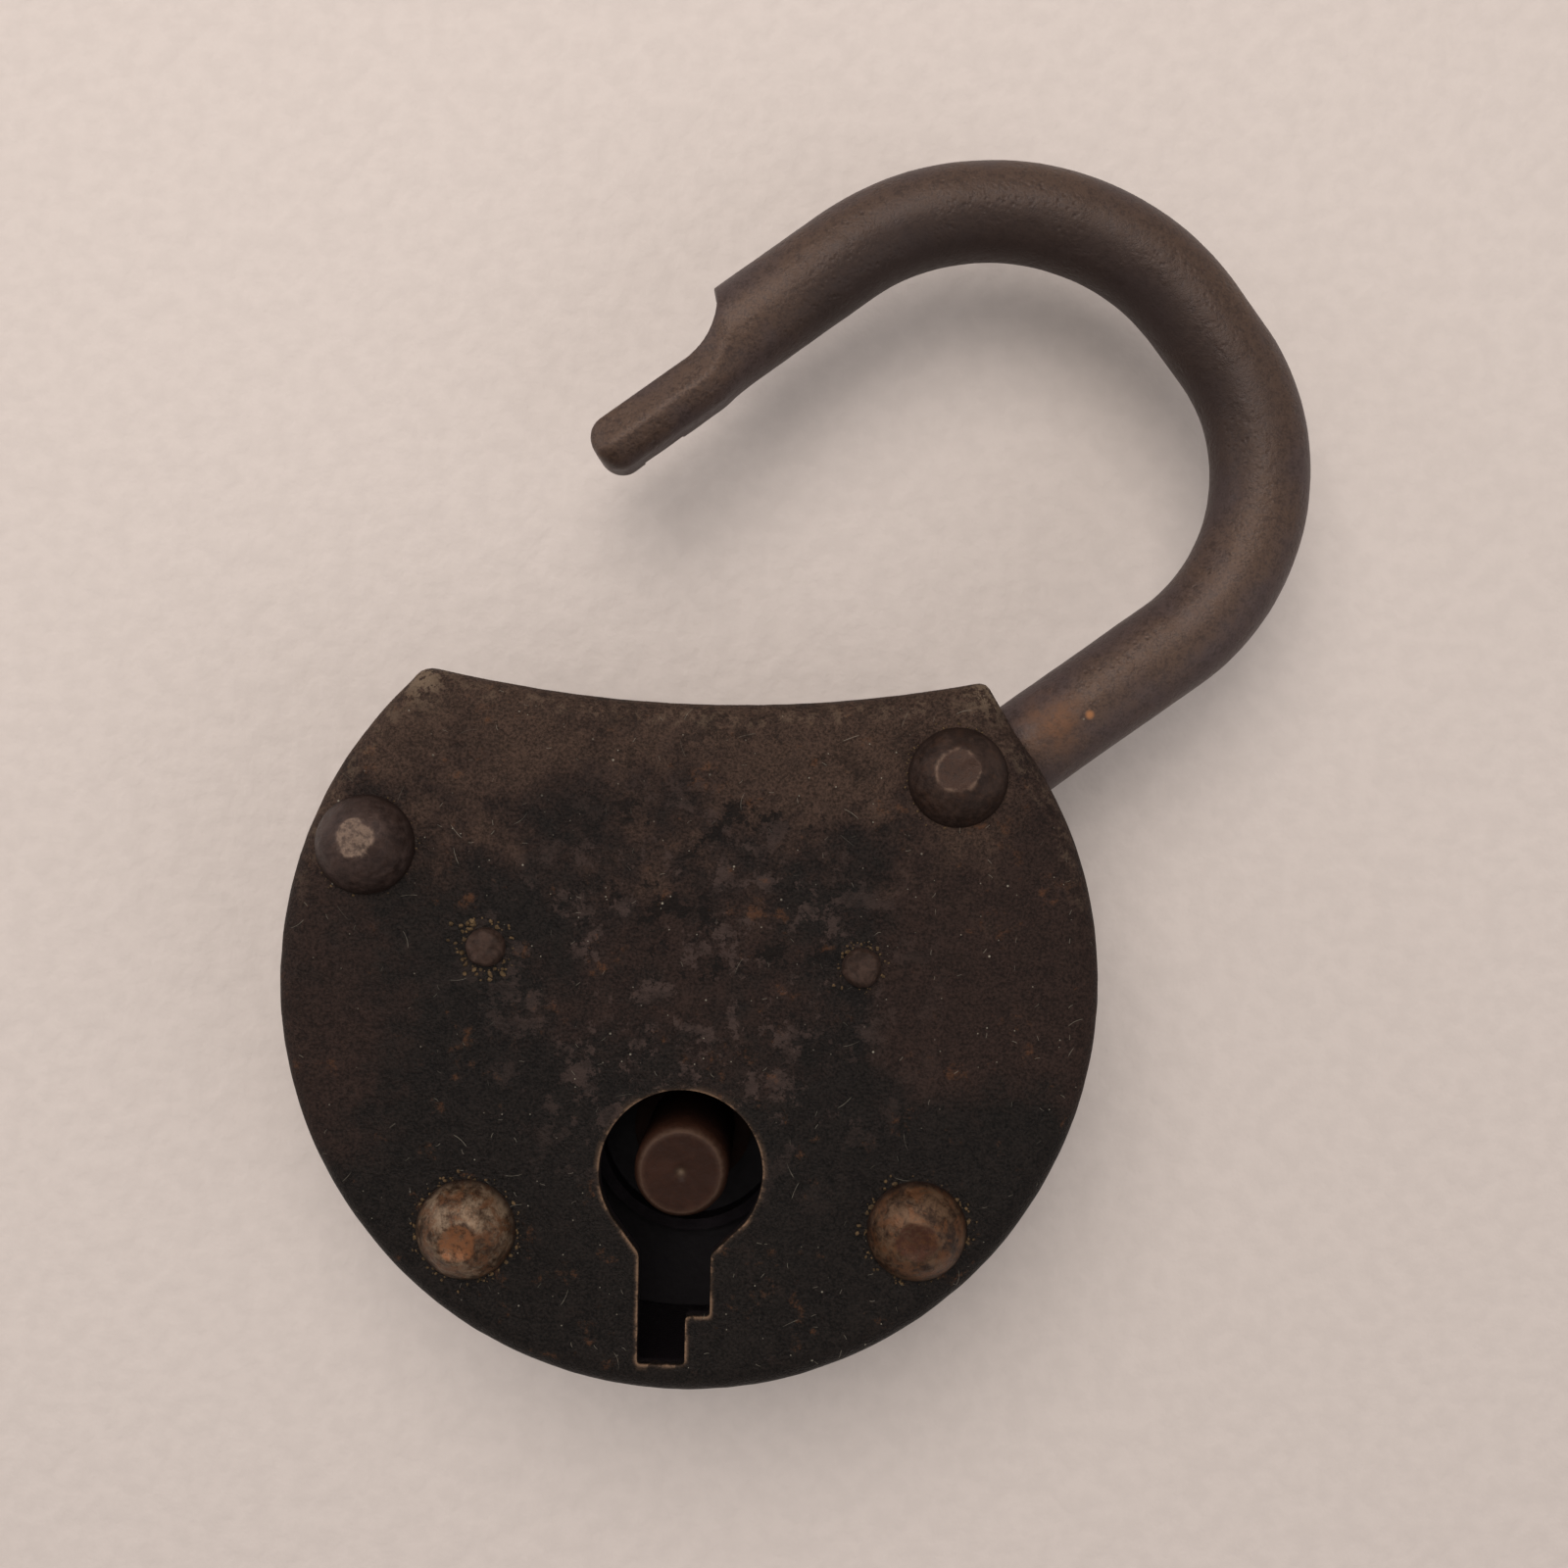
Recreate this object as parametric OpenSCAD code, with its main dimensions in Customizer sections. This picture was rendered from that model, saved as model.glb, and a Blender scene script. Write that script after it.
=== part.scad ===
// Old round-cased padlock, lying on its back with the shackle swung open.
// Millimetres, +Z up out of the front face. X and Y start at the centre of the round case.
// Drawn millimetres are lengths in plan for a case 82 across, and they follow case_d.
// z = 0 is the plane that the padlock lies on, at the tips of the rivet heads on its back.

/* [Case] */
// Diameter of the round case. Every position in plan follows it
case_d = 82; // [60:1:120]
// Thickness from the back plate's outside to the front face
case_t = 24; // [19:0.5:40]
// Thickness of the front face and of the back plate
plate_t = 1.8; // [1:0.1:3]
// Thickness of the side wall
wall_t = 1.6; // [1:0.1:2.4]
// Rounding of the front edge
edge_r = 2.8; // [2.5:0.1:4]
// Height of the hollow top edge over the case's centre, in drawn millimetres
top_low = 27.7; // [24:0.1:32]
// Radius of the hollow top edge, in drawn millimetres
top_r = 130; // [90:1:250]
// Sideways place of the top edge's lowest point, in drawn millimetres
top_x = 2.6; // [-4:0.1:4]
// Angle where the left flank leaves the round
flank_left_deg = 141; // [135:1:150]
// Angle where the right flank leaves the round
flank_right_deg = 31; // [25:1:45]
// Length of the flanks' blocks, as a share of the case's radius
flank_share = 0.45; // [0.42:0.01:0.5]
// How far the flanks lie inside the tangent, in drawn millimetres
flank_set = 0.3; // [0.1:0.05:0.6]
// How much softer the hollow top's front edge is than the round's, and how much sharper the flanks'
edge_step = 0.2; // [0.1:0.05:0.4]
// How much of the front edge's rounding the face cuts off
edge_lift = 0.12; // [0.05:0.01:0.3]
// How far the rim stands past the back plate
rim_lip = 0.6; // [0.2:0.1:1]
// Gap between the back plate and the rim
plate_gap = 0.15; // [0.1:0.05:0.4]

/* [Rivets] */
// Radius of a domed rivet head
rivet_head_r = 4.95; // [3:0.05:7]
// Radius of a rivet head on the back, inside the rim
back_head_r = 4.6; // [3:0.05:6]
// Height of a domed rivet head
rivet_head_h = 3.6; // [2:0.1:5]
// Radius of the worn flat on a head
rivet_flat_r = 1.9; // [0.5:0.1:3]
// Radius of a rivet's shank
rivet_shank_r = 2.6; // [2:0.1:3.5]
// Radius of the spacer sleeves between the plates
sleeve_r = 3.5; // [3.2:0.1:5]
// Radius of the shackle's pivot shank
pivot_r = 3.5; // [2.5:0.1:4.2]
// Radius of the pivot's spacers
pivot_spacer_r = 4.7; // [4.4:0.1:6]
// Gap round a shank that goes through a plate
shank_gap = 0.05; // [0.02:0.01:0.2]

/* [Pins] */
// Radius of the two guide pins
guide_r = 1.6; // [1.2:0.1:2.5]
// Radius of a guide pin's riveted end
guide_end_r = 2; // [1.6:0.1:3]
// Height of a riveted end
guide_end_h = 1; // [0.5:0.1:2]
// Radius of the collars and sleeves on the guide pins
collar_r = 3; // [2.5:0.1:4]

/* [Keyhole] */
// Radius of the round part of the keyhole
keyhole_r = 8.07; // [6.5:0.01:10]
// Slot's left side, from the post's axis
slot_left = 4; // [2:0.1:5]
// Slot's right side, from the post's axis
slot_right = 3.1; // [1.5:0.1:5]
// Slot's lowest edge, under the post's axis
slot_low = 19; // [14:0.1:20]
// Step's depth under the post's axis
step_low = 14.2; // [10:0.1:16]
// Step's side, from the post's axis
step_right = 0.7; // [-1:0.1:2]
// Neck where the round part meets the slot, under the post's axis
neck_low = 8.1; // [6.5:0.1:9]
// Sideways start of the flare over the neck
flare_x = 6.35; // [5:0.05:8]
// Start of the flare under the post's axis
flare_low = 4.9; // [3:0.1:6]
// Radius of the post that the key turns on
post_r = 4.7; // [3:0.1:6]
// Height of the post's chamfer
post_chamfer = 1.3; // [0.3:0.1:2]
// Width of the post's chamfer
post_chamfer_w = 0.7; // [0.3:0.1:1.5]
// Radius of the dimple in the post's end
dimple_r = 0.8; // [0.4:0.1:1.5]
// Radius of the post's riveted tail
post_tail_r = 3.2; // [2:0.1:4]
// Width of the tail's chamfer
post_tail_edge_w = 0.7; // [0.2:0.1:1.5]
// Height of the tail's side under its chamfer
post_tail_side = 0.4; // [0.1:0.05:0.8]
// Radius of the post's foot
post_foot_r = 6.5; // [5:0.1:9]
// Thickness of the post's foot
post_foot_t = 1.2; // [0.8:0.1:2]
// Reach of the key's bit from the post's axis
key_reach = 17.5; // [14:0.1:18]
// Inner radius of the ward ring
ward_r = 10; // [8:0.1:12]
// Height of the ward ring
ward_h = 3; // [1:0.1:4]
// Thickness of the ward ring
ward_t = 1.2; // [0.8:0.1:2]

/* [Shackle] */
// Diameter of the bar
bar_d = 10.4; // [7:0.1:13]
// Height of the bow's centre line over the case's centre, in drawn millimetres
bow_top = 70.7; // [60:0.1:110]
// Free leg's place in plan, in drawn millimetres
free_leg_x = -25.1; // [-28:0.1:-23]
// Pivot leg's place in plan, in drawn millimetres
pivot_leg_x = 28.6; // [26:0.1:30]
// Radius of the bow's free side, as a share of the span
bow_free_share = 0.5; // [0.35:0.01:0.5]
// Radius of the bow's pivot side, as a share of the span
bow_pivot_share = 0.415; // [0.35:0.005:0.5]
// Angle that the shackle stands open at
open_deg = 53.8; // [20:0.1:60]
// Radius of the eye round the pivot
eye_r = 7.6; // [7:0.1:9]
// Thickness of the eye
eye_t = 9; // [6:0.1:10]
// Running gap of the eye on its pivot
pivot_gap = 0.08; // [0.02:0.01:0.1]
// Gap between the eye and its spacers
side_gap = 0.2; // [0.15:0.05:0.5]
// Room round the spacers where the bar is cut back beside the eye
spot_room = 0.8; // [0.4:0.1:1.5]
// Radius of the hollow step over the tongue
step_r = 5.9; // [3:0.1:7]
// Height of the step over the case's centre, in drawn millimetres
step_at = 24.6; // [22:0.1:26]
// Width of the tongue
tongue_w = 5.8; // [4.8:0.1:7]
// How far the tongue's inner edge stands past the bar
tongue_past = 0.2; // [0:0.05:0.5]
// Height of the tongue's tip over the case's centre, in drawn millimetres
tip_at = 10.2; // [9:0.1:12]
// Place of the tongue's ridge across its width, as a share
ridge_share = 0.6; // [0.4:0.01:0.7]
// Place of the tongue's second line across its width, as a share
line_share = 0.87; // [0.75:0.01:0.95]
// Half the tongue's thickness at its ridge, as a share of the bar's radius
ridge_thick = 0.91; // [0.6:0.01:0.98]
// The same at its second line
line_thick = 0.66; // [0.4:0.01:0.9]
// The same at its inner edge
inner_thick = 0.4; // [0.2:0.01:0.6]
// The same at its outer edge
outer_thick = 0.6; // [0.3:0.01:0.8]
// How far the tongue's root runs into the bar, as a share of the bar's radius
root_share = 0.75; // [0.5:0.05:1]
// Rounding of the tongue's tip
tongue_tip_r = 2.4; // [1:0.1:3.3]
// Room round the bar where it goes through the side wall
wall_room = 1.1; // [0.5:0.1:2]
// Room outside the tongue where it swings through the side wall
swing_room = 9; // [6:0.5:10]
// Angle over the case's centre line where the pivot leg's gap in the side wall starts
wall_gap_deg = 23; // [15:1:24]
// Where that gap turns down to the pivot, as a share of the case's radius
wall_gap_share = 0.75; // [0.7:0.01:0.85]

/* [Bolt] */
// Thickness of the bolt
bolt_t = 3; // [2:0.1:4]
// How far the bolt lies behind the middle of the case
bolt_set = 1.6; // [0:0.1:3]
// Upper edge of the bolt's plate over the case's centre, in drawn millimetres
bolt_top_at = 7.5; // [6.5:0.1:8]
// Lower edge of the bolt's plate under the case's centre, in drawn millimetres
bolt_low_at = 6; // [4:0.1:8]
// Metal beyond the guide slots
bolt_edge = 1.5; // [1:0.1:3]
// Travel of the bolt
travel = 4; // [2:0.1:5]
// Gap between the bolt and what it slides past
bolt_gap = 0.3; // [0.25:0.05:0.5]
// Width of the arm that carries the nose
arm_w = 7; // [6:0.1:9]
// Width of the bolt's nose
nose_w = 4.2; // [3:0.1:6]
// Height of the nose over the case's centre, in drawn millimetres
nose_at = 16.5; // [15:0.1:18]
// How far the nose goes into the tongue's notch
nose_bite = 3; // [2:0.1:3.5]
// Room round the nose in its notch
notch_room = 0.4; // [0.3:0.05:1]
// Radius of the notch that the key pushes
talon_r = 3.5; // [2:0.1:5]
// Room over the key's bit in that notch
talon_room = 0.6; // [0.3:0.1:1.5]
// Thickness of the leaf spring
leaf_t = 0.8; // [0.5:0.1:1.5]
// Radius of the leaf spring's bend
leaf_r = 14.2; // [10:0.1:20]
// Sideways place of the bend's centre, in drawn millimetres
leaf_x = 2; // [0:0.1:4]
// Angle from the free end of the spring to the middle of its pin
leaf_deg = 93; // [80:1:100]
// Width of the collar under the spring
spring_collar_w = 1; // [0.5:0.1:2]
// Gap between that collar and the spring
spring_gap = 0.1; // [0.05:0.05:0.3]

/* [Hidden] */
$fn = 96;

// plan positions are drawn for a case of this diameter, and follow case_d
drawn_d = 82;
plan = case_d / drawn_d;
case_r = case_d / 2;
flank_in = flank_set * plan;
top_edge_r = top_r * plan;
top_at = [top_x * plan, top_low * plan + top_edge_r];
pivot_at = [26.3, 20.7] * plan;
upper_left_at = [-32.1, 13.1] * plan;
lower_left_at = [-21.5, -24.7] * plan;
lower_right_at = [23, -24.1] * plan;
guide_left_at = [-20, 3.2] * plan;
guide_right_at = [17.1, 1.8] * plan;
post_at = [-0.4, -18.7] * plan;

// how far a cut runs past what it cuts, and how far a shank runs into its heads
over = 1;
seat = 0.01;
// the flank blocks' length, so that each reaches past the top edge
flank_len = case_r * flank_share;

// heights
z_back = rivet_head_h;
z_rim = z_back - rim_lip;
z_floor = z_back + plate_t;
z_front = z_back + case_t;
z_roof = z_front - plate_t;
z_mid = z_back + case_t / 2;

// the shackle, drawn closed
bar_r = bar_d / 2;
free_x = free_leg_x * plan;
pivot_x = pivot_leg_x * plan;
span = pivot_x - free_x;
free_bow_r = span * bow_free_share;
pivot_bow_r = span * bow_pivot_share;
top_y = bow_top * plan;
free_bow_x = free_x + free_bow_r;
free_bow_y = top_y - free_bow_r;
pivot_bow_x = pivot_x - pivot_bow_r;
pivot_bow_y = top_y - pivot_bow_r;
step_y = step_at * plan;
tip_y = tip_at * plan;
tongue_in = free_x + bar_r + tongue_past;
tongue_out = tongue_in - tongue_w;
ridge_x = tongue_out + tongue_w * ridge_share;
line_x = tongue_out + tongue_w * line_share;
// half the tongue's thickness at its ridge, its second line and its edges
ridge_z = bar_r * ridge_thick;
line_z = bar_r * line_thick;
inner_z = bar_r * inner_thick;
outer_z = bar_r * outer_thick;

// the bolt, drawn back
bolt_z = z_mid - bolt_t - bolt_set;
bolt_top = bolt_top_at * plan;
bolt_low = -bolt_low_at * plan;
nose_low = nose_at * plan - nose_w / 2;
nose_back = tongue_in - nose_bite + travel;
talon_y = post_at[1] + key_reach + talon_room - talon_r;
talon_x = post_at[0] + travel / 2;

// taller than anything that it cuts
tall = case_t * 3;

// half of the case's section, from the axis to its side, with its upper edge rounded. The
// rounding stops a little short of flat, so that it meets the face at a line
module half_outline(r, low, high, round_r) {
  start = high - round_r + edge_lift;
  translate([0, low]) square([r, start - low]);
  translate([0, low]) square([r - round_r, high - low]);
  intersection() {
    translate([r - round_r, start]) circle(r = round_r, $fn = 64);
    translate([0, low]) square([r, high - low]);
  }
}

// the case's form: a round, a block for each straight flank and a hollow top edge, all cut off
// level at the rim. The flanks' edge is a little sharper than the round's, so that they cross
// at a line
module case_form() {
  low = z_rim - over;
  difference() {
    union() {
      rotate_extrude($fn = 180) half_outline(case_r, low, z_front, edge_r);
      rotate([0, 0, flank_right_deg]) rotate([90, 0, 180]) mirror([1, 0, 0])
        linear_extrude(flank_len) half_outline(case_r - flank_in, low, z_front, edge_r - edge_step);
      rotate([0, 0, flank_left_deg]) rotate([90, 0, 0])
        linear_extrude(flank_len) half_outline(case_r - flank_in, low, z_front, edge_r - edge_step);
    }
    translate([top_at[0], top_at[1], 0]) rotate_extrude($fn = 360)
      top_tool(top_edge_r, low, z_front, edge_r + edge_step);
    translate([-case_d, -case_d, z_rim - tall]) cube([case_d * 2, case_d * 2, tall]);
  }
}

// the same form as a flat outline, drawn in by inset
module case_outline(inset) {
  r = case_r - inset;
  difference() {
    union() {
      circle(r = r, $fn = 360);
      rotate([0, 0, flank_right_deg]) square([r - flank_in, flank_len]);
      rotate([0, 0, flank_left_deg]) translate([0, -flank_len]) square([r - flank_in, flank_len]);
    }
    translate(top_at) circle(r = top_edge_r + inset, $fn = 720);
  }
}

// what the hollow top edge takes away, with the front edge's rounding
module top_tool(r, low, high, round_r) {
  start = high - round_r + edge_lift;
  translate([0, low - over]) square([r, high - low + over * 2]);
  difference() {
    translate([0, start]) square([r + round_r, high - start + over]);
    translate([r + round_r, start]) circle(r = round_r, $fn = 64);
  }
}

// the keyhole, round its post
module keyhole_outline() {
  circle(r = keyhole_r);
  polygon([[-flare_x, -flare_low], [-slot_left, -neck_low], [-slot_left, -slot_low],
    [step_right, -slot_low], [step_right, -step_low], [slot_right, -step_low],
    [slot_right, -neck_low], [flare_x, -flare_low]]);
}

// the gaps in the side wall for the two legs, as seen from the front
module leg_gaps() {
  inner_x = pivot_x - bar_r - wall_room;
  inner_r = case_r * wall_gap_share;
  translate([tongue_out - swing_room, step_y])
    square([swing_room + tongue_w + wall_room * 2, case_r]);
  polygon([[inner_x, pivot_at[1]], [inner_x, case_d], [case_d, case_d],
    [case_d, case_d * tan(wall_gap_deg)], [inner_r, inner_r * tan(wall_gap_deg)]]);
}

// holes for every shank that goes through a plate
module shank_holes(low, high) {
  for (at = [upper_left_at, lower_left_at, lower_right_at])
    translate([at[0], at[1], low]) cylinder(r = rivet_shank_r + shank_gap, h = high - low);
  translate([pivot_at[0], pivot_at[1], low]) cylinder(r = pivot_r + shank_gap, h = high - low);
  for (at = [guide_left_at, guide_right_at])
    translate([at[0], at[1], low]) cylinder(r = guide_r + shank_gap, h = high - low);
}

module front_case() {
  color([0.15, 0.14, 0.12]) difference() {
    case_form();
    translate([0, 0, z_rim - over]) linear_extrude(z_roof - z_rim + over) case_outline(wall_t);
    translate([post_at[0], post_at[1], z_roof - over])
      linear_extrude(plate_t + over * 2) keyhole_outline();
    shank_holes(z_roof - over, z_front + over);
    translate([0, 0, z_mid - bar_r - wall_room / 2]) linear_extrude(bar_d + wall_room) leg_gaps();
  }
}

module back_plate() {
  color([0.13, 0.12, 0.11]) difference() {
    translate([0, 0, z_back]) linear_extrude(plate_t) case_outline(wall_t + plate_gap);
    shank_holes(z_back - over, z_floor + over);
    translate([post_at[0], post_at[1], z_back - over])
      cylinder(r = post_tail_r + shank_gap, h = plate_t + over * 2);
    translate([spring_at[0], spring_at[1], z_back - over])
      cylinder(r = guide_r + shank_gap, h = plate_t + over * 2);
  }
}

// the domed head of a rivet, standing on z = 0
module dome(r, h, flat_r) {
  full = h + (flat_r * flat_r) / (2 * r);
  ball = (r * r + full * full) / (2 * full);
  rotate_extrude() intersection() {
    translate([0, full - ball]) circle(r = ball, $fn = 128);
    square([r, h]);
  }
}

// a shank from the back plate's outside to the front face, run a hair into its heads
module shank(at, r)
  translate([at[0], at[1], z_back - seat]) cylinder(r = r, h = case_t + seat * 2);

// a rivet with a dome at each end
module rivet(at, r) {
  shank(at, r);
  translate([at[0], at[1], z_front]) dome(rivet_head_r, rivet_head_h, rivet_flat_r);
  translate([at[0], at[1], z_back]) mirror([0, 0, 1])
    dome(back_head_r, rivet_head_h, rivet_flat_r);
}

module pivot_rivet() color([0.3, 0.26, 0.22]) rivet(pivot_at, pivot_r);
module rivet_upper_left() color([0.3, 0.26, 0.22]) rivet(upper_left_at, rivet_shank_r);
module rivet_lower_left() color([0.34, 0.22, 0.13]) rivet(lower_left_at, rivet_shank_r);
module rivet_lower_right() color([0.32, 0.22, 0.14]) rivet(lower_right_at, rivet_shank_r);

// a tube on an upright pin
module tube(at, low, high, outer, inner) {
  translate([at[0], at[1], low]) difference() {
    cylinder(r = outer, h = high - low);
    translate([0, 0, -over]) cylinder(r = inner, h = high - low + over * 2);
  }
}

module rivet_sleeve(at)
  tube(at, z_floor, z_roof, sleeve_r, rivet_shank_r + shank_gap);

module sleeve_upper_left() color([0.2, 0.17, 0.14]) rivet_sleeve(upper_left_at);
module sleeve_lower_left() color([0.2, 0.17, 0.14]) rivet_sleeve(lower_left_at);
module sleeve_lower_right() color([0.2, 0.17, 0.14]) rivet_sleeve(lower_right_at);

module pivot_spacer_back() color([0.2, 0.17, 0.14])
  tube(pivot_at, z_floor, z_mid - eye_t / 2 - side_gap, pivot_spacer_r, pivot_r + shank_gap);

module pivot_spacer_front() color([0.2, 0.17, 0.14])
  tube(pivot_at, z_mid + eye_t / 2 + side_gap, z_roof, pivot_spacer_r, pivot_r + shank_gap);

// a guide pin with riveted ends and a collar that the bolt rides on
module guide_pin(at) {
  translate([at[0], at[1], z_front]) dome(guide_end_r, guide_end_h, guide_end_r / 2);
  translate([at[0], at[1], z_back]) mirror([0, 0, 1]) dome(guide_end_r, guide_end_h, guide_end_r / 2);
  shank(at, guide_r);
  translate([at[0], at[1], z_floor]) cylinder(r = collar_r, h = bolt_z - bolt_gap - z_floor);
}

module guide_pin_left() color([0.28, 0.2, 0.15]) guide_pin(guide_left_at);
module guide_pin_right() color([0.28, 0.2, 0.15]) guide_pin(guide_right_at);

module guide_sleeve(at)
  tube(at, bolt_z + bolt_t + bolt_gap, z_roof, collar_r, guide_r + shank_gap);

module guide_sleeve_left() color([0.2, 0.17, 0.14]) guide_sleeve(guide_left_at);
module guide_sleeve_right() color([0.2, 0.17, 0.14]) guide_sleeve(guide_right_at);

module key_post() {
  color([0.3, 0.24, 0.18]) translate([post_at[0], post_at[1], 0]) difference() {
    rotate_extrude() polygon([[0, z_back - guide_end_h],
      [post_tail_r - post_tail_edge_w, z_back - guide_end_h],
      [post_tail_r, z_back - post_tail_side], [post_tail_r, z_floor], [post_foot_r, z_floor],
      [post_foot_r, z_floor + post_foot_t], [post_r, z_floor + post_foot_t],
      [post_r, z_front - post_chamfer], [post_r - post_chamfer_w, z_front], [0, z_front]]);
    translate([0, 0, z_front - dimple_r]) cylinder(r1 = 0, r2 = dimple_r * 2, h = dimple_r * 2);
  }
}

module ward_ring() {
  color([0.2, 0.17, 0.14]) translate([post_at[0], post_at[1], z_floor]) difference() {
    cylinder(r = ward_r + ward_t, h = ward_h);
    translate([0, 0, -over]) cylinder(r = ward_r, h = ward_h + over * 2);
  }
}

// turns what is drawn with the shackle closed to where it stands open
module opened() {
  translate([pivot_at[0], pivot_at[1], 0]) rotate([0, 0, -open_deg])
    translate([-pivot_at[0], -pivot_at[1], 0]) children();
}

// a quarter of the bow
module bow_quarter(x, y, r, start) {
  translate([x, y, z_mid]) rotate([0, 0, start]) rotate_extrude(angle = 90, $fn = 180)
    translate([r, 0]) circle(r = bar_r, $fn = 96);
}

// a straight piece of bar up a leg
module leg(x, low, high) {
  translate([x, low, z_mid]) rotate([-90, 0, 0]) cylinder(r = bar_r, h = high - low, $fn = 96);
}

// the tongue's section, across its width and its thickness
module tongue_section() {
  polygon([[tongue_out, outer_z], [ridge_x, ridge_z], [line_x, line_z], [tongue_in, inner_z],
    [tongue_in, -inner_z], [line_x, -line_z], [ridge_x, -ridge_z], [tongue_out, -outer_z]]);
}

module tongue() {
  root_y = step_y + bar_r * root_share;
  intersection() {
    translate([0, root_y, z_mid]) rotate([90, 0, 0])
      linear_extrude(root_y - tip_y + over) tongue_section();
    translate([0, 0, z_mid - bar_d]) linear_extrude(bar_d * 2) {
      translate([tongue_out - over, tip_y + tongue_tip_r])
        square([tongue_w + over * 2, root_y - tip_y]);
      translate([tongue_out + tongue_tip_r, tip_y])
        square([tongue_w - tongue_tip_r * 2, tongue_tip_r * 2]);
      translate([tongue_out + tongue_tip_r, tip_y + tongue_tip_r]) circle(r = tongue_tip_r);
      translate([tongue_in - tongue_tip_r, tip_y + tongue_tip_r]) circle(r = tongue_tip_r);
    }
  }
}

module shackle() {
  color([0.3, 0.27, 0.24]) opened() difference() {
    union() {
      bow_quarter(free_bow_x, free_bow_y, free_bow_r, 90);
      bow_quarter(pivot_bow_x, pivot_bow_y, pivot_bow_r, 0);
      translate([free_bow_x, top_y, z_mid]) rotate([0, 90, 0])
        cylinder(r = bar_r, h = pivot_bow_x - free_bow_x, $fn = 96);
      leg(pivot_x, pivot_at[1], pivot_bow_y);
      leg(free_x, step_y, free_bow_y);
      translate([pivot_at[0], pivot_at[1], z_mid - eye_t / 2]) cylinder(r = eye_r, h = eye_t);
      tongue();
    }
    translate([tongue_out - step_r, step_y, z_mid - bar_d]) cylinder(r = step_r, h = bar_d * 2);
    translate([tongue_in - nose_bite - notch_room, nose_low - notch_room, z_mid - bar_d])
      cube([nose_bite + over * 2, nose_w + notch_room * 2, bolt_z + bolt_t + notch_room - z_mid + bar_d]);
    translate([pivot_at[0], pivot_at[1], z_mid - tall]) cylinder(r = pivot_r + pivot_gap, h = tall * 2);
    translate([pivot_at[0], pivot_at[1], z_mid + eye_t / 2])
      cylinder(r = pivot_spacer_r + spot_room, h = tall);
    translate([pivot_at[0], pivot_at[1], z_mid - eye_t / 2 - tall])
      cylinder(r = pivot_spacer_r + spot_room, h = tall);
  }
}

// a slot that a guide pin runs in while the bolt travels
module guide_slot(at) {
  r = guide_r + bolt_gap;
  translate([at[0], at[1]]) circle(r = r);
  translate([at[0] + travel, at[1]]) circle(r = r);
  translate([at[0], at[1] - r]) square([travel, r * 2]);
}

module bolt() {
  plate_x = guide_left_at[0] - collar_r - bolt_edge;
  plate_w = guide_right_at[0] - guide_left_at[0] + travel + (collar_r + bolt_edge) * 2;
  color([0.27, 0.23, 0.19]) translate([0, 0, bolt_z]) linear_extrude(bolt_t) difference() {
    union() {
      translate([plate_x, bolt_low]) square([plate_w, bolt_top - bolt_low]);
      translate([nose_back, bolt_top - over]) square([arm_w, nose_low + nose_w - bolt_top + over]);
    }
    guide_slot(guide_left_at);
    guide_slot(guide_right_at);
    translate([nose_back - over, bolt_top])
      square([nose_bite + bolt_gap + over, nose_low - bolt_top]);
    translate([talon_x, talon_y]) circle(r = talon_r);
    translate([talon_x - talon_r, bolt_low - over]) square([talon_r * 2, talon_y - bolt_low + over]);
  }
}

// the leaf spring's bend is a ring round leaf_at, from spring_deg back by leaf_deg
leaf_at = [leaf_x * plan, bolt_top + bolt_gap + leaf_r];
spring_deg = -32;
spring_at = leaf_at + (leaf_r - leaf_t / 2) * [cos(spring_deg), sin(spring_deg)];

module leaf_spring() {
  eye_in = guide_r + shank_gap;
  color([0.25, 0.22, 0.2]) translate([0, 0, bolt_z]) difference() {
    union() {
      translate([leaf_at[0], leaf_at[1], 0]) rotate([0, 0, spring_deg - leaf_deg])
        rotate_extrude(angle = leaf_deg - 1, $fn = 180) translate([leaf_r - leaf_t, 0])
          square([leaf_t, bolt_t]);
      translate([spring_at[0], spring_at[1], 0]) cylinder(r = eye_in + leaf_t, h = bolt_t);
    }
    translate([spring_at[0], spring_at[1], -over]) cylinder(r = eye_in, h = bolt_t + over * 2);
  }
}

module spring_pin() {
  color([0.25, 0.2, 0.17]) translate([spring_at[0], spring_at[1], 0]) {
    translate([0, 0, z_back]) cylinder(r = guide_r, h = bolt_z + bolt_t + over - z_back);
    translate([0, 0, z_floor]) cylinder(r = guide_r + spring_collar_w, h = bolt_z - spring_gap - z_floor);
  }
}

front_case();
back_plate();
shackle();
pivot_rivet();
rivet_upper_left();
rivet_lower_left();
rivet_lower_right();
sleeve_upper_left();
sleeve_lower_left();
sleeve_lower_right();
pivot_spacer_back();
pivot_spacer_front();
guide_pin_left();
guide_pin_right();
guide_sleeve_left();
guide_sleeve_right();
key_post();
ward_ring();
bolt();
leaf_spring();
spring_pin();
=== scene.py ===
"""Looks of an old rusty padlock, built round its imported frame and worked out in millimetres."""

import math

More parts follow.
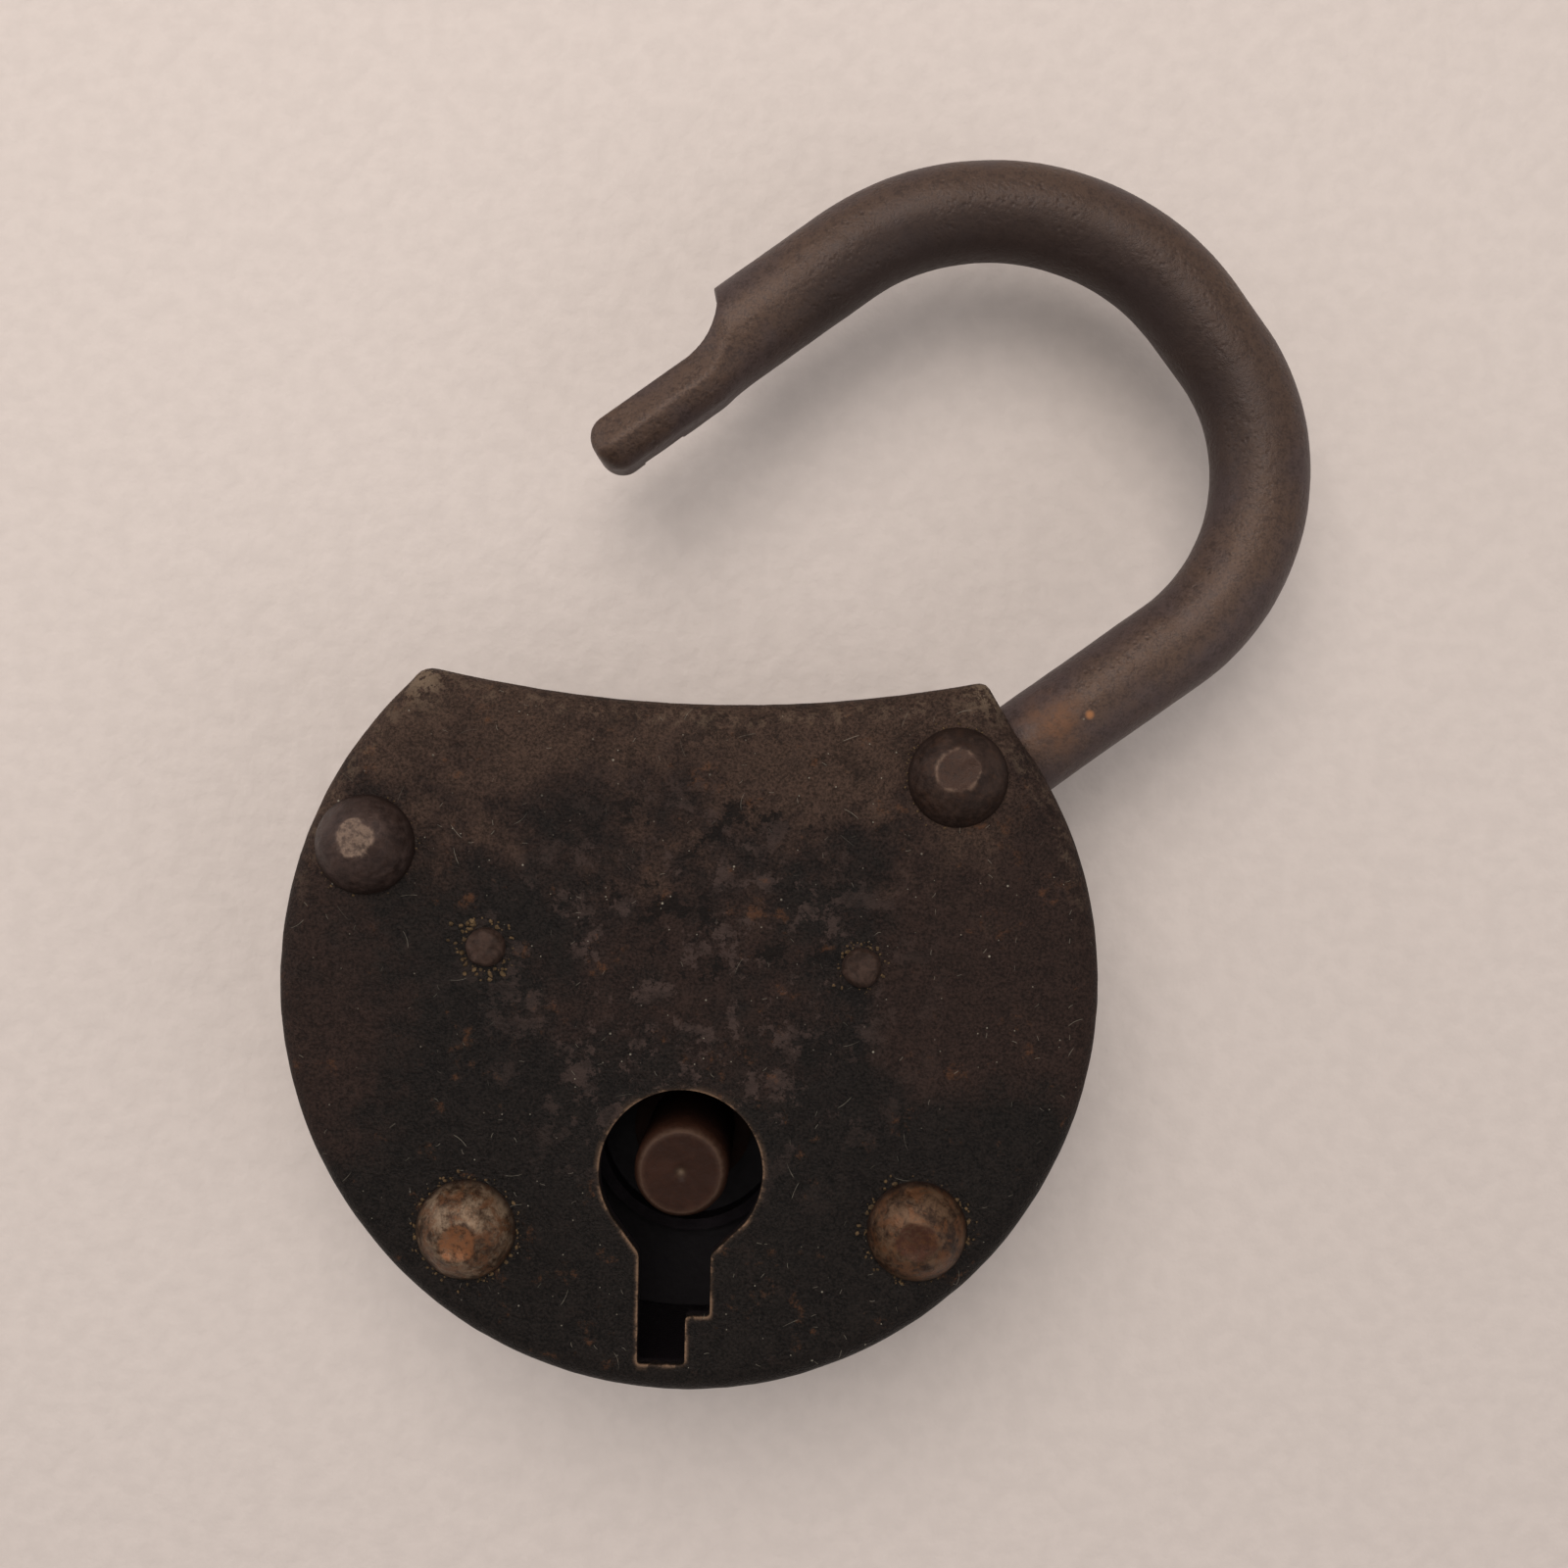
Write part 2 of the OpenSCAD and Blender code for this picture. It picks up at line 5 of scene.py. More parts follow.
import bpy
import numpy as np
from bpy.props import FloatProperty, FloatVectorProperty, IntProperty, PointerProperty
from bpy.types import Operator, Panel, PropertyGroup
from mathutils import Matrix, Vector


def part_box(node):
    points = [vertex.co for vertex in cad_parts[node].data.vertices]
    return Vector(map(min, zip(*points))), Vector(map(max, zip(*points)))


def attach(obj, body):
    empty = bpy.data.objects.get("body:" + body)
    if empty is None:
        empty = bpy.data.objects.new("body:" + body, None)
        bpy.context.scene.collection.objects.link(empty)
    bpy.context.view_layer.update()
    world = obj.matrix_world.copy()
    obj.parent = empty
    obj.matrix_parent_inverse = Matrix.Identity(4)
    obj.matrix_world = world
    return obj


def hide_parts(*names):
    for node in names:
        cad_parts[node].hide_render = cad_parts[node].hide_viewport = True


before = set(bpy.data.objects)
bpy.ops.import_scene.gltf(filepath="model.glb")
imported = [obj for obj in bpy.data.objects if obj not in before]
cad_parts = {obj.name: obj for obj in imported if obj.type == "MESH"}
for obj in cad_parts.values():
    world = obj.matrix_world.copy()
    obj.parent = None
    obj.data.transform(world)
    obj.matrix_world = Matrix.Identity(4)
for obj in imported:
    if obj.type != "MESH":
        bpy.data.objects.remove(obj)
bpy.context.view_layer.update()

bl_info = {
    "name": "Old Rusty Padlock",
    "version": (1, 0, 0),
    "blender": (4, 5, 0),
    "location": "View3D > Sidebar > Padlock",
    "description": "Builds an old padlock's worn case, rivets, shackle and post round its frame",
    "category": "Add Mesh",
}

MM = 0.001
TURN = 2 * math.pi


def node_box(node):
    """A frame node's lowest and highest corners, in millimetres."""
    lo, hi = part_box(node)
    return np.array(lo) / MM, np.array(hi) / MM


def node_centre(node):
    """The plan centre of a frame node, in millimetres."""
    lo, hi = node_box(node)
    return (lo[:2] + hi[:2]) / 2


CASE_LO, CASE_HI = node_box("front_case")
PLATE_LO, PLATE_HI = node_box("back_plate")
POST_LO = node_box("key_post")[0]
CASE_R = -CASE_LO[1]
Z_RIM, Z_FRONT = CASE_LO[2], CASE_HI[2]
Z_BACK, Z_FLOOR = PLATE_LO[2], PLATE_HI[2]
POST = node_centre("key_post")

# the case's outline: a round, two straight flanks and a hollow top edge
TOP_R, TOP_X, TOP_LOW = 130.0, 2.6, 27.7
FLANK_DEG = (31.0, 141.0)
FLANK_SET = 0.3
# how far the corners between the round and the hollow are rounded: the right one, the left one
CORNER_SOFT = (1.1, 1.6)
PLATE_T, WALL_T, EDGE_R = 1.8, 1.6, 2.8
Z_ROOF = Z_FRONT - PLATE_T
Z_MID = (Z_FRONT + Z_BACK) / 2
GAP_LOW, GAP_HIGH = Z_MID - 5.75, Z_MID + 5.75
KEYHOLE_R = 8.07
KEYHOLE = ((-6.37, -4.95), (-4.0, -8.1), (-4.0, -19.0), (0.7, -19.0), (0.7, -14.2), (3.1, -14.2),
           (3.1, -8.1), (6.37, -4.95))
KEYHOLE_EASE, ARC_POINTS = 0.45, 90
# the keyhole's rolled edge: how far down and out each of its rows lies
LIP = ((0.35, 0.0), (0.08, 0.06), (0.0, 0.22))
# heights of the rows down the wall
WALL_Z = (23.2, GAP_HIGH, 19.4, 17.5, Z_MID, 13.7, 11.8, GAP_LOW, 8.2, 6.4, 4.6, Z_RIM + 0.3)
# the openings for the legs. Free leg's: from and to along X, and from Y up. Pivot's: from X on,
# and over that angle from the middle
FREE_GAP = (-34.5, -17.5, 24.6)
PIVOT_GAP = (22.3, 23.0)
# the two sharp corners, whose paint is worn and which also carry a painted highlight
CORNERS = ((-27.2, 30.0), (29.5, 29.8))

# the shackle, drawn closed: its legs and bow, the step and the tongue at its free end, and its eye.
# The tongue's section is given by its corners, out from the free leg's middle and up
OPEN_DEG = 53.8
PIVOT = node_centre("pivot_rivet")
BAR_R, FREE_X, LEG_X, BOW_TOP = 5.2, -25.1, 28.6, 70.7
FREE_BOW_R, PIVOT_BOW_R = 26.85, 22.29
STEP_Y, STEP_R, STEP_OUT = 24.6, 5.9, 0.4
TIP_Y, TIP_R = 10.2, 2.4
TONGUE = ((0.4, 3.12), (-3.08, 4.73), (-4.65, 3.43), (-5.4, 2.08))
TONGUE_MID, TONGUE_HALF = -2.5, 2.9
NOTCH_Y, NOTCH_OUT, NOTCH_Z = (14.0, 19.0), -2.0, -1.2
EYE_R, EYE_HOLE, EYE_HALF = 7.6, 3.58, 4.5
ROOT_R, ROOT_HALF = 5.0, 4.42

# the rivets: what differs from one head to the next. A flat is a worn facet, given by where its
# middle lies from the head's and by its radius; a pit is a hollow in it, with its depth
RIVETS = (
    {"piece": "rivet_upper_right_head", "node": "pivot_rivet", "slot": "rivet_upper",
     "seed": 11, "flat": (-0.35, 0.75, 2.35), "pit": (-0.3, 0.6, 1.5, 0.10),
     "low": (0.0210, 0.0122, 0.0095), "high": (0.047, 0.0275, 0.0210),
     "worn": (0.040, 0.0205, 0.0140), "brink": (0.130, 0.082, 0.058), "rust": 0.12, "rough": 0.36},
    {"piece": "rivet_upper_left_head", "node": "rivet_upper_left", "slot": "rivet_upper",
     "seed": 13, "flat": (-0.25, 0.75, 2.05), "pit": (0.9, -1.1, 1.0, 0.05),
     "low": (0.026, 0.0155, 0.0130), "high": (0.054, 0.0335, 0.0280),
     "worn": (0.145, 0.098, 0.072), "brink": (0.190, 0.128, 0.094), "rust": 0.05, "rough": 0.34},
    {"piece": "rivet_lower_left_head", "node": "rivet_lower_left", "slot": "rivet_lower",
     "seed": 15, "flat": (-0.35, -0.55, 2.2), "pit": (-0.35, -0.7, 1.35, 0.34),
     "low": (0.034, 0.0175, 0.0095), "high": (0.200, 0.135, 0.088),
     "worn": (0.190, 0.074, 0.031), "brink": (0.026, 0.0125, 0.0075), "rust": 0.75, "rough": 0.26},
    {"piece": "rivet_lower_right_head", "node": "rivet_lower_right", "slot": "rivet_lower",
     "seed": 17, "flat": (-0.35, -0.25, 2.3), "pit": (-0.3, -0.4, 1.35, 0.26),
     "low": (0.022, 0.0108, 0.0065), "high": (0.112, 0.063, 0.036),
     "worn": (0.048, 0.0170, 0.0100), "brink": (0.075, 0.040, 0.023), "rust": 0.75, "rough": 0.26},
)
SHANK_R, BACK_HEAD_R = 2.6, 4.6
# how far the heads go into the dented face
SUNK = 0.3
PIN_R, PIN_END_R, PIN_COLLAR_TOP = 1.6, 2.0, 10.7
# how much of a flat is worn off, and how wide its bright brink is
FLAT_WORN, BRINK_W = 0.92, 0.075

# the key post: its end's rings by radius and depth under the face, from the dimple over the
# chamfer to the side, then its foot on the back plate and its tail
POST_R, CHAMFER_R = 4.7, 4.1
POST_END = ((0, 0.55), (0.25, 0.42), (0.5, 0.16), (0.75, 0.03), (1.2, 0), (1.8, 0), (2.4, 0),
            (3, 0), (3.5, 0), (3.85, 0), (4, 0.05), (4.12, 0.2), (4.35, 0.62), (4.58, 1.05),
            (POST_R - 0.03, 1.3), (POST_R, 1.5), (POST_R, 3))
POST_FOOT_R, POST_FOOT_H, POST_TAIL_R = 6.5, 1.2, 3.2

# crumbs: node, ring round it, spread, size, how many
CRUMBS = (("guide_pin_left", 2.2, 0.7, 0.34, 80), ("guide_pin_right", 2.05, 0.45, 0.22, 60),
          ("rivet_lower_left", 5.0, 0.42, 0.26, 120), ("rivet_lower_right", 5.0, 0.40, 0.25, 110),
          ("rivet_upper_left", 5.0, 0.30, 0.16, 46), ("pivot_rivet", 5.0, 0.30, 0.17, 50))


# --- surfaces


def waves(p, size, seed, count=28):
    """Smooth random relief of about -1 to 1: the sum of plane waves with random directions and
    phases, whose lengths are near size. p is an array of points in millimetres."""
    rng = np.random.default_rng(seed)
    way = rng.normal(size=(p.shape[-1], count))
    way /= np.linalg.norm(way, axis=0)
    k = TURN / (size * rng.uniform(0.7, 1.5, count))
    phase = rng.uniform(0, TURN, count)
    return np.cos(p @ (way * k) + phase).sum(-1) / math.sqrt(count / 2) / 2


def soft_min(a, b, k):
    """The smaller of two arrays, with the corner between them rounded over a width of k."""
    h = np.clip(0.5 + 0.5 * (b - a) / k, 0, 1)
    return b + (a - b) * h - k * h * (1 - h)


def smooth(x, low, high):
    """0 under low, 1 over high, and an S curve between."""
    t = np.clip((x - low) / (high - low), 0, 1)
    return t * t * (3 - 2 * t)


def quads(rows, cols, wrap_rows=False, wrap_cols=False):
    """Faces of a grid whose points are numbered row by row, as an array of rows by columns by 4."""
    r = np.arange(rows if wrap_rows else rows - 1)[:, None]
    c = np.arange(cols if wrap_cols else cols - 1)[None, :]
    r1, c1 = (r + 1) % rows, (c + 1) % cols
    return np.stack([r * cols + c, r * cols + c1, r1 * cols + c1, r1 * cols + c], -1)


def grid_normals(p):
    """Unit normals of a grid of points that closes on itself both ways: the cross product of its
    two slopes."""
    along, down = (np.roll(p, -1, axis) - np.roll(p, 1, axis) for axis in (1, 0))
    n = np.cross(along, down)
    return n / np.maximum(np.linalg.norm(n, axis=-1, keepdims=True), 1e-9)


def plan_way(angle):
    """Unit vectors in plan at these angles."""
    return np.stack([np.cos(angle), np.sin(angle)], -1)


def ring_points(profile, centre, columns):
    """Points of rings round a centre, one for each radius and height in the profile."""
    r, z = np.array(profile, float).T[..., None, None]
    rings = centre + r * plan_way(np.linspace(0, TURN, columns, endpoint=False))
    return np.concatenate([rings, np.repeat(z, columns, 1)], -1).reshape(-1, 3)


def closed_tube(rows, cols, turned=False):
    """Faces of a tube whose points are numbered ring by ring, closed at each end by a fan. The two
    fans' points come last. Turned faces look the other way."""
    c = np.arange(cols)
    nxt = (c + 1) % cols
    end, last = rows * cols, (rows - 1) * cols
    fans = np.concatenate([np.stack([np.full(cols, end), nxt, c], -1),
                           np.stack([np.full(cols, end + 1), last + c, last + nxt], -1)])
    sides = quads(rows, cols, wrap_cols=True).reshape(-1, 4)
    way = -1 if turned else 1
    return sides[:, ::way].tolist() + fans[:, ::way].tolist()


def put_in_scene(name, data):
    """A new object for a mesh, lamp or camera, linked to the scene."""
    made = bpy.data.objects.new(name, data)
    bpy.context.scene.collection.objects.link(made)
    return made


def put_mesh(name, points, faces, material, body, replaced=(), marks=None, sharp=38):
    """Makes a piece from points in millimetres and faces, with its wear marks as attributes."""
    mesh = bpy.data.meshes.new(name)
    mesh.from_pydata((points * MM).tolist(), [], faces)
    mesh.validate()
    mesh.shade_smooth()
    mesh.set_sharp_from_angle(angle=math.radians(sharp))
    for mark, values in (marks or {}).items():
        layer = mesh.attributes.new(mark, "FLOAT", "POINT")
        layer.data.foreach_set("value", np.ascontiguousarray(values, np.float32))
    mesh.materials.append(material)
    piece = put_in_scene(name, mesh)
    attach(piece, body)
    if replaced:
        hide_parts(*replaced)
    return piece


# --- the case


def reach(angle, inset):
    """How far the case's outline, drawn in by inset, lies from the post's axis at each angle.
    It is the far side of the round, or of a flank's line past its start where that is further,
    and then the near side of the hollow top's circle where that is nearer, with the corner
    between them rounded."""
    way = plan_way(angle)
    along = way @ POST
    body = -along + np.sqrt(along**2 - POST @ POST + (CASE_R - inset) ** 2)
    for deg, turn in zip(FLANK_DEG, (1, -1)):
        a = math.radians(deg)
        out, up = np.array([math.cos(a), math.sin(a)]), turn * np.array([-math.sin(a), math.cos(a)])
        facing = np.maximum(way @ out, 1e-6)
        hit = (CASE_R - FLANK_SET - inset - POST @ out) / facing
        past = ((POST + way * hit[..., None]) @ up > 0) & (way @ out > 0.5)
        body = np.where(past, np.maximum(body, hit), body)
    to_top = np.array([TOP_X, TOP_LOW + TOP_R]) - POST
    ahead = way @ to_top
    spare = ahead**2 - to_top @ to_top + (TOP_R + inset) ** 2
    top = np.where((spare > 0) & (ahead > 0), ahead - np.sqrt(np.maximum(spare, 0)), 1e3)
    k = np.where(np.cos(angle) > 0, *CORNER_SOFT)
    return soft_min(body, top, k)


def keyhole_line():
    """The keyhole's outline as points round the post: most of a circle, then the stepped slot
    with each corner rounded off a little."""
    first = math.atan2(KEYHOLE[-1][1], KEYHOLE[-1][0])
    last = math.atan2(KEYHOLE[0][1], KEYHOLE[0][0]) + TURN
    a = np.linspace(first, last, ARC_POINTS)
    arc = KEYHOLE_R * plan_way(a)
    slot = np.array(KEYHOLE[1:-1])
    ends = np.concatenate([arc[-1:], slot, arc[:1]])
    before, after = ends[:-2] - slot, ends[2:] - slot
    for side in (before, after):
        side *= KEYHOLE_EASE / np.linalg.norm(side, axis=-1, keepdims=True)
    t = np.array([0.0, 0.3, 0.5, 0.7, 1.0])[None, :, None]
    bend = slot[:, None] + before[:, None] * (1 - t) ** 2 + after[:, None] * t**2
    return np.concatenate([arc, bend.reshape(-1, 2)])


def cross(a, b):
    """The cross product of vectors in plan."""
    return a[..., 0] * b[..., 1] - a[..., 1] * b[..., 0]


def ray_to(line, angle):
    """How far a closed outline round the origin lies at each angle: the nearest crossing of a ray
    with the outline's pieces."""
    way, start = plan_way(angle)[:, None], line[None]
    edge = np.roll(start, -1, 1) - start
    turn = cross(way, edge)
    turn = np.where(np.abs(turn) < 1e-9, 1e-9, turn)
    far, part = cross(start, edge) / turn, cross(start, way) / turn
    ok = (part > -1e-6) & (part < 1 + 1e-6) & (far > 0)
    return np.where(ok, far, 1e3).min(1)


def line_gap(points, line):
    """Distance in plan from each point to an outline's nearest piece."""
    edge = (np.roll(line, -1, 0) - line)[None]
    rel = points[:, None] - line
    t = np.clip((rel * edge).sum(-1) / np.maximum((edge**2).sum(-1), 1e-9), 0, 1)
    return np.linalg.norm(rel - t[..., None] * edge, axis=-1).min(1)


def ray_angles(line, count):
    """Angles round the post: even steps along the case's outline, with more over the keyhole's slot
    and one at each of its corners."""
    a = np.linspace(0, TURN, 4096, endpoint=False)
    p = POST + reach(a, 0)[:, None] * plan_way(a)
    step = np.linalg.norm(np.roll(p, -1, 0) - p, axis=1)
    even = np.interp(np.linspace(0, step.sum(), count, endpoint=False), np.cumsum(step) - step, a)
    corners = np.arctan2(*line[ARC_POINTS:, ::-1].T) % TURN
    slot = np.linspace(corners.min(), corners.max(), 70)
    every = np.unique(np.concatenate([even, corners, slot]))
    return every[np.append(np.diff(every), 1) > 0.0008]


def build_case(sizes, paint):
    """The case as one closed sheet round the post. Each row is a loop: across the face from the
    keyhole, over the rounded edge, down the wall, round the rim, up inside, and back under the
    face to the keyhole. Faces are left out where the legs pass the wall, and its cut edges are
    closed from the outer wall to the inner."""
    line = keyhole_line()
    angle = ray_angles(line, sizes.case_columns)
    way = plan_way(angle)
    hole = ray_to(line, angle)
    rows, edge, inner = [], [], []

    def loop(far, z, worn=0.0, inside=0.0):
        rows.append(np.concatenate([POST + way * far[:, None], np.full((len(angle), 1), z)], 1))
        edge.append(np.full(len(angle), worn))
        inner.append(np.full(len(angle), inside))

    flat_end = reach(angle, EDGE_R)
    for drop, out in LIP:
        loop(hole + out, Z_FRONT - drop)
    for u in np.linspace(0.01, 1, sizes.face_rows) ** 1.25:
        loop(hole + out + (flat_end - hole - out) * u, Z_FRONT)
    for a in np.linspace(0, math.pi / 2, 10)[1:]:
        inset, drop = EDGE_R * (1 - math.sin(a)), EDGE_R * (1 - math.cos(a))
        loop(reach(angle, inset), Z_FRONT - drop, math.sin(a))
    for z in WALL_Z:
        loop(reach(angle, 0), z)
    outer_gap = [len(rows) - len(WALL_Z) + WALL_Z.index(z) for z in (GAP_HIGH, GAP_LOW)]
    outside = len(rows)
    for inset in (0.3, WALL_T - 0.3):
        loop(reach(angle, inset), Z_RIM)
    for z in WALL_Z[::-1]:
        loop(reach(angle, WALL_T), z, inside=1)
    inner_gap = [len(rows) - 1 - WALL_Z.index(z) for z in (GAP_HIGH, GAP_LOW)]
    inner_r = EDGE_R - WALL_T
    for a in np.linspace(0, math.pi / 2, 5):
        z = Z_ROOF - inner_r * (1 - math.sin(a))
        loop(reach(angle, WALL_T + inner_r * (1 - math.cos(a))), z, inside=1)
    for u in (0.8, 0.6, 0.4, 0.2, 0.08, 0.0):
        loop(hole + (flat_end - hole) * u, Z_ROOF, inside=1)

    p = np.array(rows)
    count, cols = p.shape[:2]
    normal = grid_normals(p)
    plan = p[:outside]
    dents = sizes.dent_depth / MM * (waves(plan, 17, 3) + 0.5 * waves(plan, 7, 4) - 1.2)
    dents += 0.02 * (waves(plan, 2.6, 5) - 1)
    # a soft limit keeps every dent inwards
    dents = -0.02 * np.logaddexp(0, -dents / 0.02)
    from_hole = line_gap(plan[..., :2].reshape(-1, 2) - POST, line).reshape(outside, cols)
    p[:outside] -= normal[:outside] * (dents * smooth(from_hole, 0.3, 3))[..., None]

    faces = quads(count, cols, True, True)
    there = np.ones(faces.shape[:2], bool)
    x, y = p[outer_gap[0], :, :2].T
    free = (x > FREE_GAP[0]) & (x < FREE_GAP[1]) & (y > FREE_GAP[2])
    swing = (x > PIVOT_GAP[0]) & (y > x * math.tan(math.radians(PIVOT_GAP[1])))
    (outer_top, outer_low), (inner_top, inner_low) = np.array([outer_gap, inner_gap]) * cols
    steps = np.arange(outer_gap[1] - outer_gap[0]) * cols
    o, i = outer_top + steps, inner_top - steps
    ends = []
    for open_at in (free, swing):
        cells = np.flatnonzero(open_at & np.roll(open_at, -1))
        nxt = (cells + 1) % cols
        there[outer_gap[0]:outer_gap[1], cells] = False
        there[inner_gap[1]:inner_gap[0], cells] = False
        first, last = cells[0], nxt[-1]
        for corners in ((o + first, i + first, i - cols + first, o + cols + first),
                        (o + last, o + cols + last, i - cols + last, i + last),
                        (outer_top + cells, outer_top + nxt, inner_top + nxt, inner_top + cells),
                        (outer_low + cells, inner_low + cells, inner_low + nxt, outer_low + nxt)):
            ends.append(np.stack(corners, -1))
    faces = np.concatenate([faces[there]] + ends)[:, ::-1]

    flat = p.reshape(-1, 3)
    from_hole = line_gap(flat[:, :2] - POST, line)
    from_corner = np.linalg.norm(flat[:, None, :2] - np.array(CORNERS), axis=-1).min(1)
    marks = {
        "rounding": np.array(edge).reshape(-1),
        "lip": np.exp(-(from_hole / 0.24) ** 2) * (flat[:, 2] > Z_FRONT - 0.3),
        # the corners' mark carries their worn paint and a painted highlight
        "corner": np.exp(-(from_corner / 2.5) ** 2) * (flat[:, 2] > Z_FRONT - 5),
        "inside": np.array(inner).reshape(-1),
    }
    return put_mesh("case_shell", flat, faces.tolist(), paint, "case", ("front_case",),
                    marks)


# --- the shackle


def opened(points):
    """Turns points drawn with the shackle closed to where it stands open."""
    a = -math.radians(OPEN_DEG)
    turn = np.array([[math.cos(a), math.sin(a)], [-math.sin(a), math.cos(a)]])
    return np.concatenate([(points[:, :2] - PIVOT) @ turn + PIVOT, points[:, 2:]], 1)


def bow_path():
    """The bar's middle line in plan with the way out from it: up the free leg from its tip, round
    the bow and down to the eye. Rows lie close together at the tip, the notch and the step."""
    tip = TIP_Y + TIP_R * (1 - np.cos(np.linspace(0.12, math.pi / 2, 12)))
    low, high = NOTCH_Y
    up = np.concatenate([tip, [13.3, low - 0.03], np.linspace(low, high, 9), [high + 0.03],
                         np.linspace(19.5, 22, 6), np.arange(22.2, 32, 0.18),
                         np.arange(32.5, BOW_TOP - FREE_BOW_R, 1.1)])
    first = np.linspace(math.pi, math.pi / 2, 44)
    second = np.linspace(math.pi / 2, 0, 38)
    down = np.concatenate([np.arange(47.5, 28, -1.1), np.arange(27.5, PIVOT[1] + 0.2, -0.3)])
    line = [np.stack([np.full(len(up), FREE_X), up], -1)]
    out = [np.tile((-1.0, 0.0), (len(up), 1))]
    for a, x, r in ((first, FREE_X + FREE_BOW_R, FREE_BOW_R),
                    (second, LEG_X - PIVOT_BOW_R, PIVOT_BOW_R)):
        out.append(plan_way(a))
        line.append(np.array([x, BOW_TOP - r]) + r * out[-1])
    line.append(np.stack([np.full(len(down), LEG_X), down], -1))
    out.append(np.tile((1.0, 0.0), (len(down), 1)))
    return np.concatenate(line), np.concatenate(out), len(up)


def build_bow(sizes, material):
    """The shackle's bar as one closed tube. Each row is a round, which turns into the tongue's
    section below the step, is cut off on its outer side by the step's arc, narrows at the tip,
    has the bolt's notch pressed into its back, and ends as a crescent inside the eye."""
    line, out, count = bow_path()
    t = np.linspace(0, TURN, 84, endpoint=False)
    corners = np.array(TONGUE)
    section = np.concatenate([corners, corners[::-1] * (1, -1)]) - (TONGUE_MID, 0)
    far = ray_to(section, t)
    for _ in range(3):
        far = 0.25 * np.roll(far, 1) + 0.5 * far + 0.25 * np.roll(far, -1)
    bar = BAR_R * plan_way(t)
    tongue = (TONGUE_MID, 0) + far[:, None] * plan_way(t)
    y = line[:, 1]
    free = np.arange(len(y)) < count
    part = np.where(free, 1 - smooth(y, STEP_Y - 0.8, STEP_Y + 5.2), 0)[:, None, None]
    cut = bar[None] * (1 - part) + tongue[None] * part
    up = np.clip(y - STEP_Y, 0, STEP_R)
    limit = STEP_OUT + STEP_R - np.sqrt(STEP_R**2 - up**2)
    limit = np.where(free & (y < STEP_Y + STEP_R), limit, 1e3)
    cut[..., 0] = soft_min(cut[..., 0], limit[:, None], 0.12)
    inset = np.where(free, np.clip(TIP_Y + TIP_R - y, 0, TIP_R), 0)
    inset = TIP_R - np.sqrt(TIP_R**2 - inset**2)
    cut[..., 0] = TONGUE_MID + (cut[..., 0] - TONGUE_MID) * (1 - inset / TONGUE_HALF)[:, None]
    cut[..., 1] *= (1 - 0.4 * inset / TIP_R)[:, None]
    notch = np.flatnonzero(free & (y >= NOTCH_Y[0]) & (y <= NOTCH_Y[1]))
    wall = np.flatnonzero((tongue[:, 0] < NOTCH_OUT) & (tongue[:, 1] < NOTCH_Z))
    wall_z = np.linspace(NOTCH_Z, tongue[wall[-1] + 1, 1], len(wall) + 1)[:-1]
    cut[np.ix_(notch, wall)] = np.stack([np.full(len(wall), NOTCH_OUT), wall_z], -1)

    p = np.concatenate([line[:, None] + out[:, None] * cut[..., :1], cut[..., 1:]], -1)
    # the bar's top, where a sheen is painted, and its outer side
    marks = {"upper": np.clip(np.sin(t), 0, 1) ** 3, "outer": 0.5 + 0.5 * np.cos(t)}
    marks = {key: np.append(np.tile(value, len(y)), (0, 0)) for key, value in marks.items()}
    rough = sizes.bar_relief / MM * (waves(p, 11, 51) + 0.4 * waves(p, 3, 52) - 1.3)
    p += (p - np.append(line, np.zeros((len(y), 1)), 1)[:, None]) / BAR_R * rough[..., None]
    near = ~free & (y < PIVOT[1] + ROOT_R)
    rel = p[near, :, :2] - PIVOT
    edge = np.sqrt(np.maximum(ROOT_R**2 - rel[..., 1] ** 2, 0))
    low, high = rel[..., 0].min(1, keepdims=True), rel[..., 0].max(1, keepdims=True)
    rel[..., 0] = high - (high - rel[..., 0]) * (high - edge) / (high - low)
    p[near, :, :2] = rel + PIVOT
    thin = np.where(free, 0, 1 - smooth(y - PIVOT[1], ROOT_R + 0.7, ROOT_R + 4))
    p[..., 2] *= 1 - (1 - ROOT_HALF / BAR_R) * thin[:, None]

    ends = p[[0, -1]].mean(1)
    ends[0, 1] = TIP_Y
    points = opened(np.concatenate([p.reshape(-1, 3), ends]) + (0, 0, Z_MID))
    return put_mesh("shackle_bow", points, closed_tube(*p.shape[:2]), material, "shackle",
                    ("shackle",), marks)


def build_eye(material):
    """The eye round the pivot: a ring with eased edges, a rectangle turned round its axis."""
    ease = 0.25
    half = EYE_HALF - ease
    low = [(EYE_HOLE, -half), (EYE_HOLE + ease, -EYE_HALF), (EYE_R - ease, -EYE_HALF),
           (EYE_R, -half)]
    profile = low + [(r, -z) for r, z in low[::-1]]
    columns = 96
    points = ring_points(profile, PIVOT, columns) + (0, 0, Z_MID)
    faces = quads(len(profile), columns, True, True).reshape(-1, 4).tolist()
    return put_mesh("shackle_eye", points, faces, material, "shackle")


# --- turned pieces


def lathe(profile, centre, columns):
    """A closed turned form: profile gives radius and height from the top pole to the bottom pole,
    and each row between them is a ring of columns points round centre. Returns the points, the
    two poles last, and the faces."""
    points = ring_points(profile[1:-1], centre, columns)
    poles = [[*centre, profile[0][1]], [*centre, profile[-1][1]]]
    return np.concatenate([points, poles]), closed_tube(len(profile) - 2, columns, True)


def dome_profile(r, h, steps):
    """Radius and height down a domed head, a part of a ball: from its top to its rim."""
    ball = (r * r + h * h) / (2 * h)
    a = np.linspace(0, math.asin(r / ball), steps)
    return np.stack([ball * np.sin(a), h - ball + ball * np.cos(a)], -1)


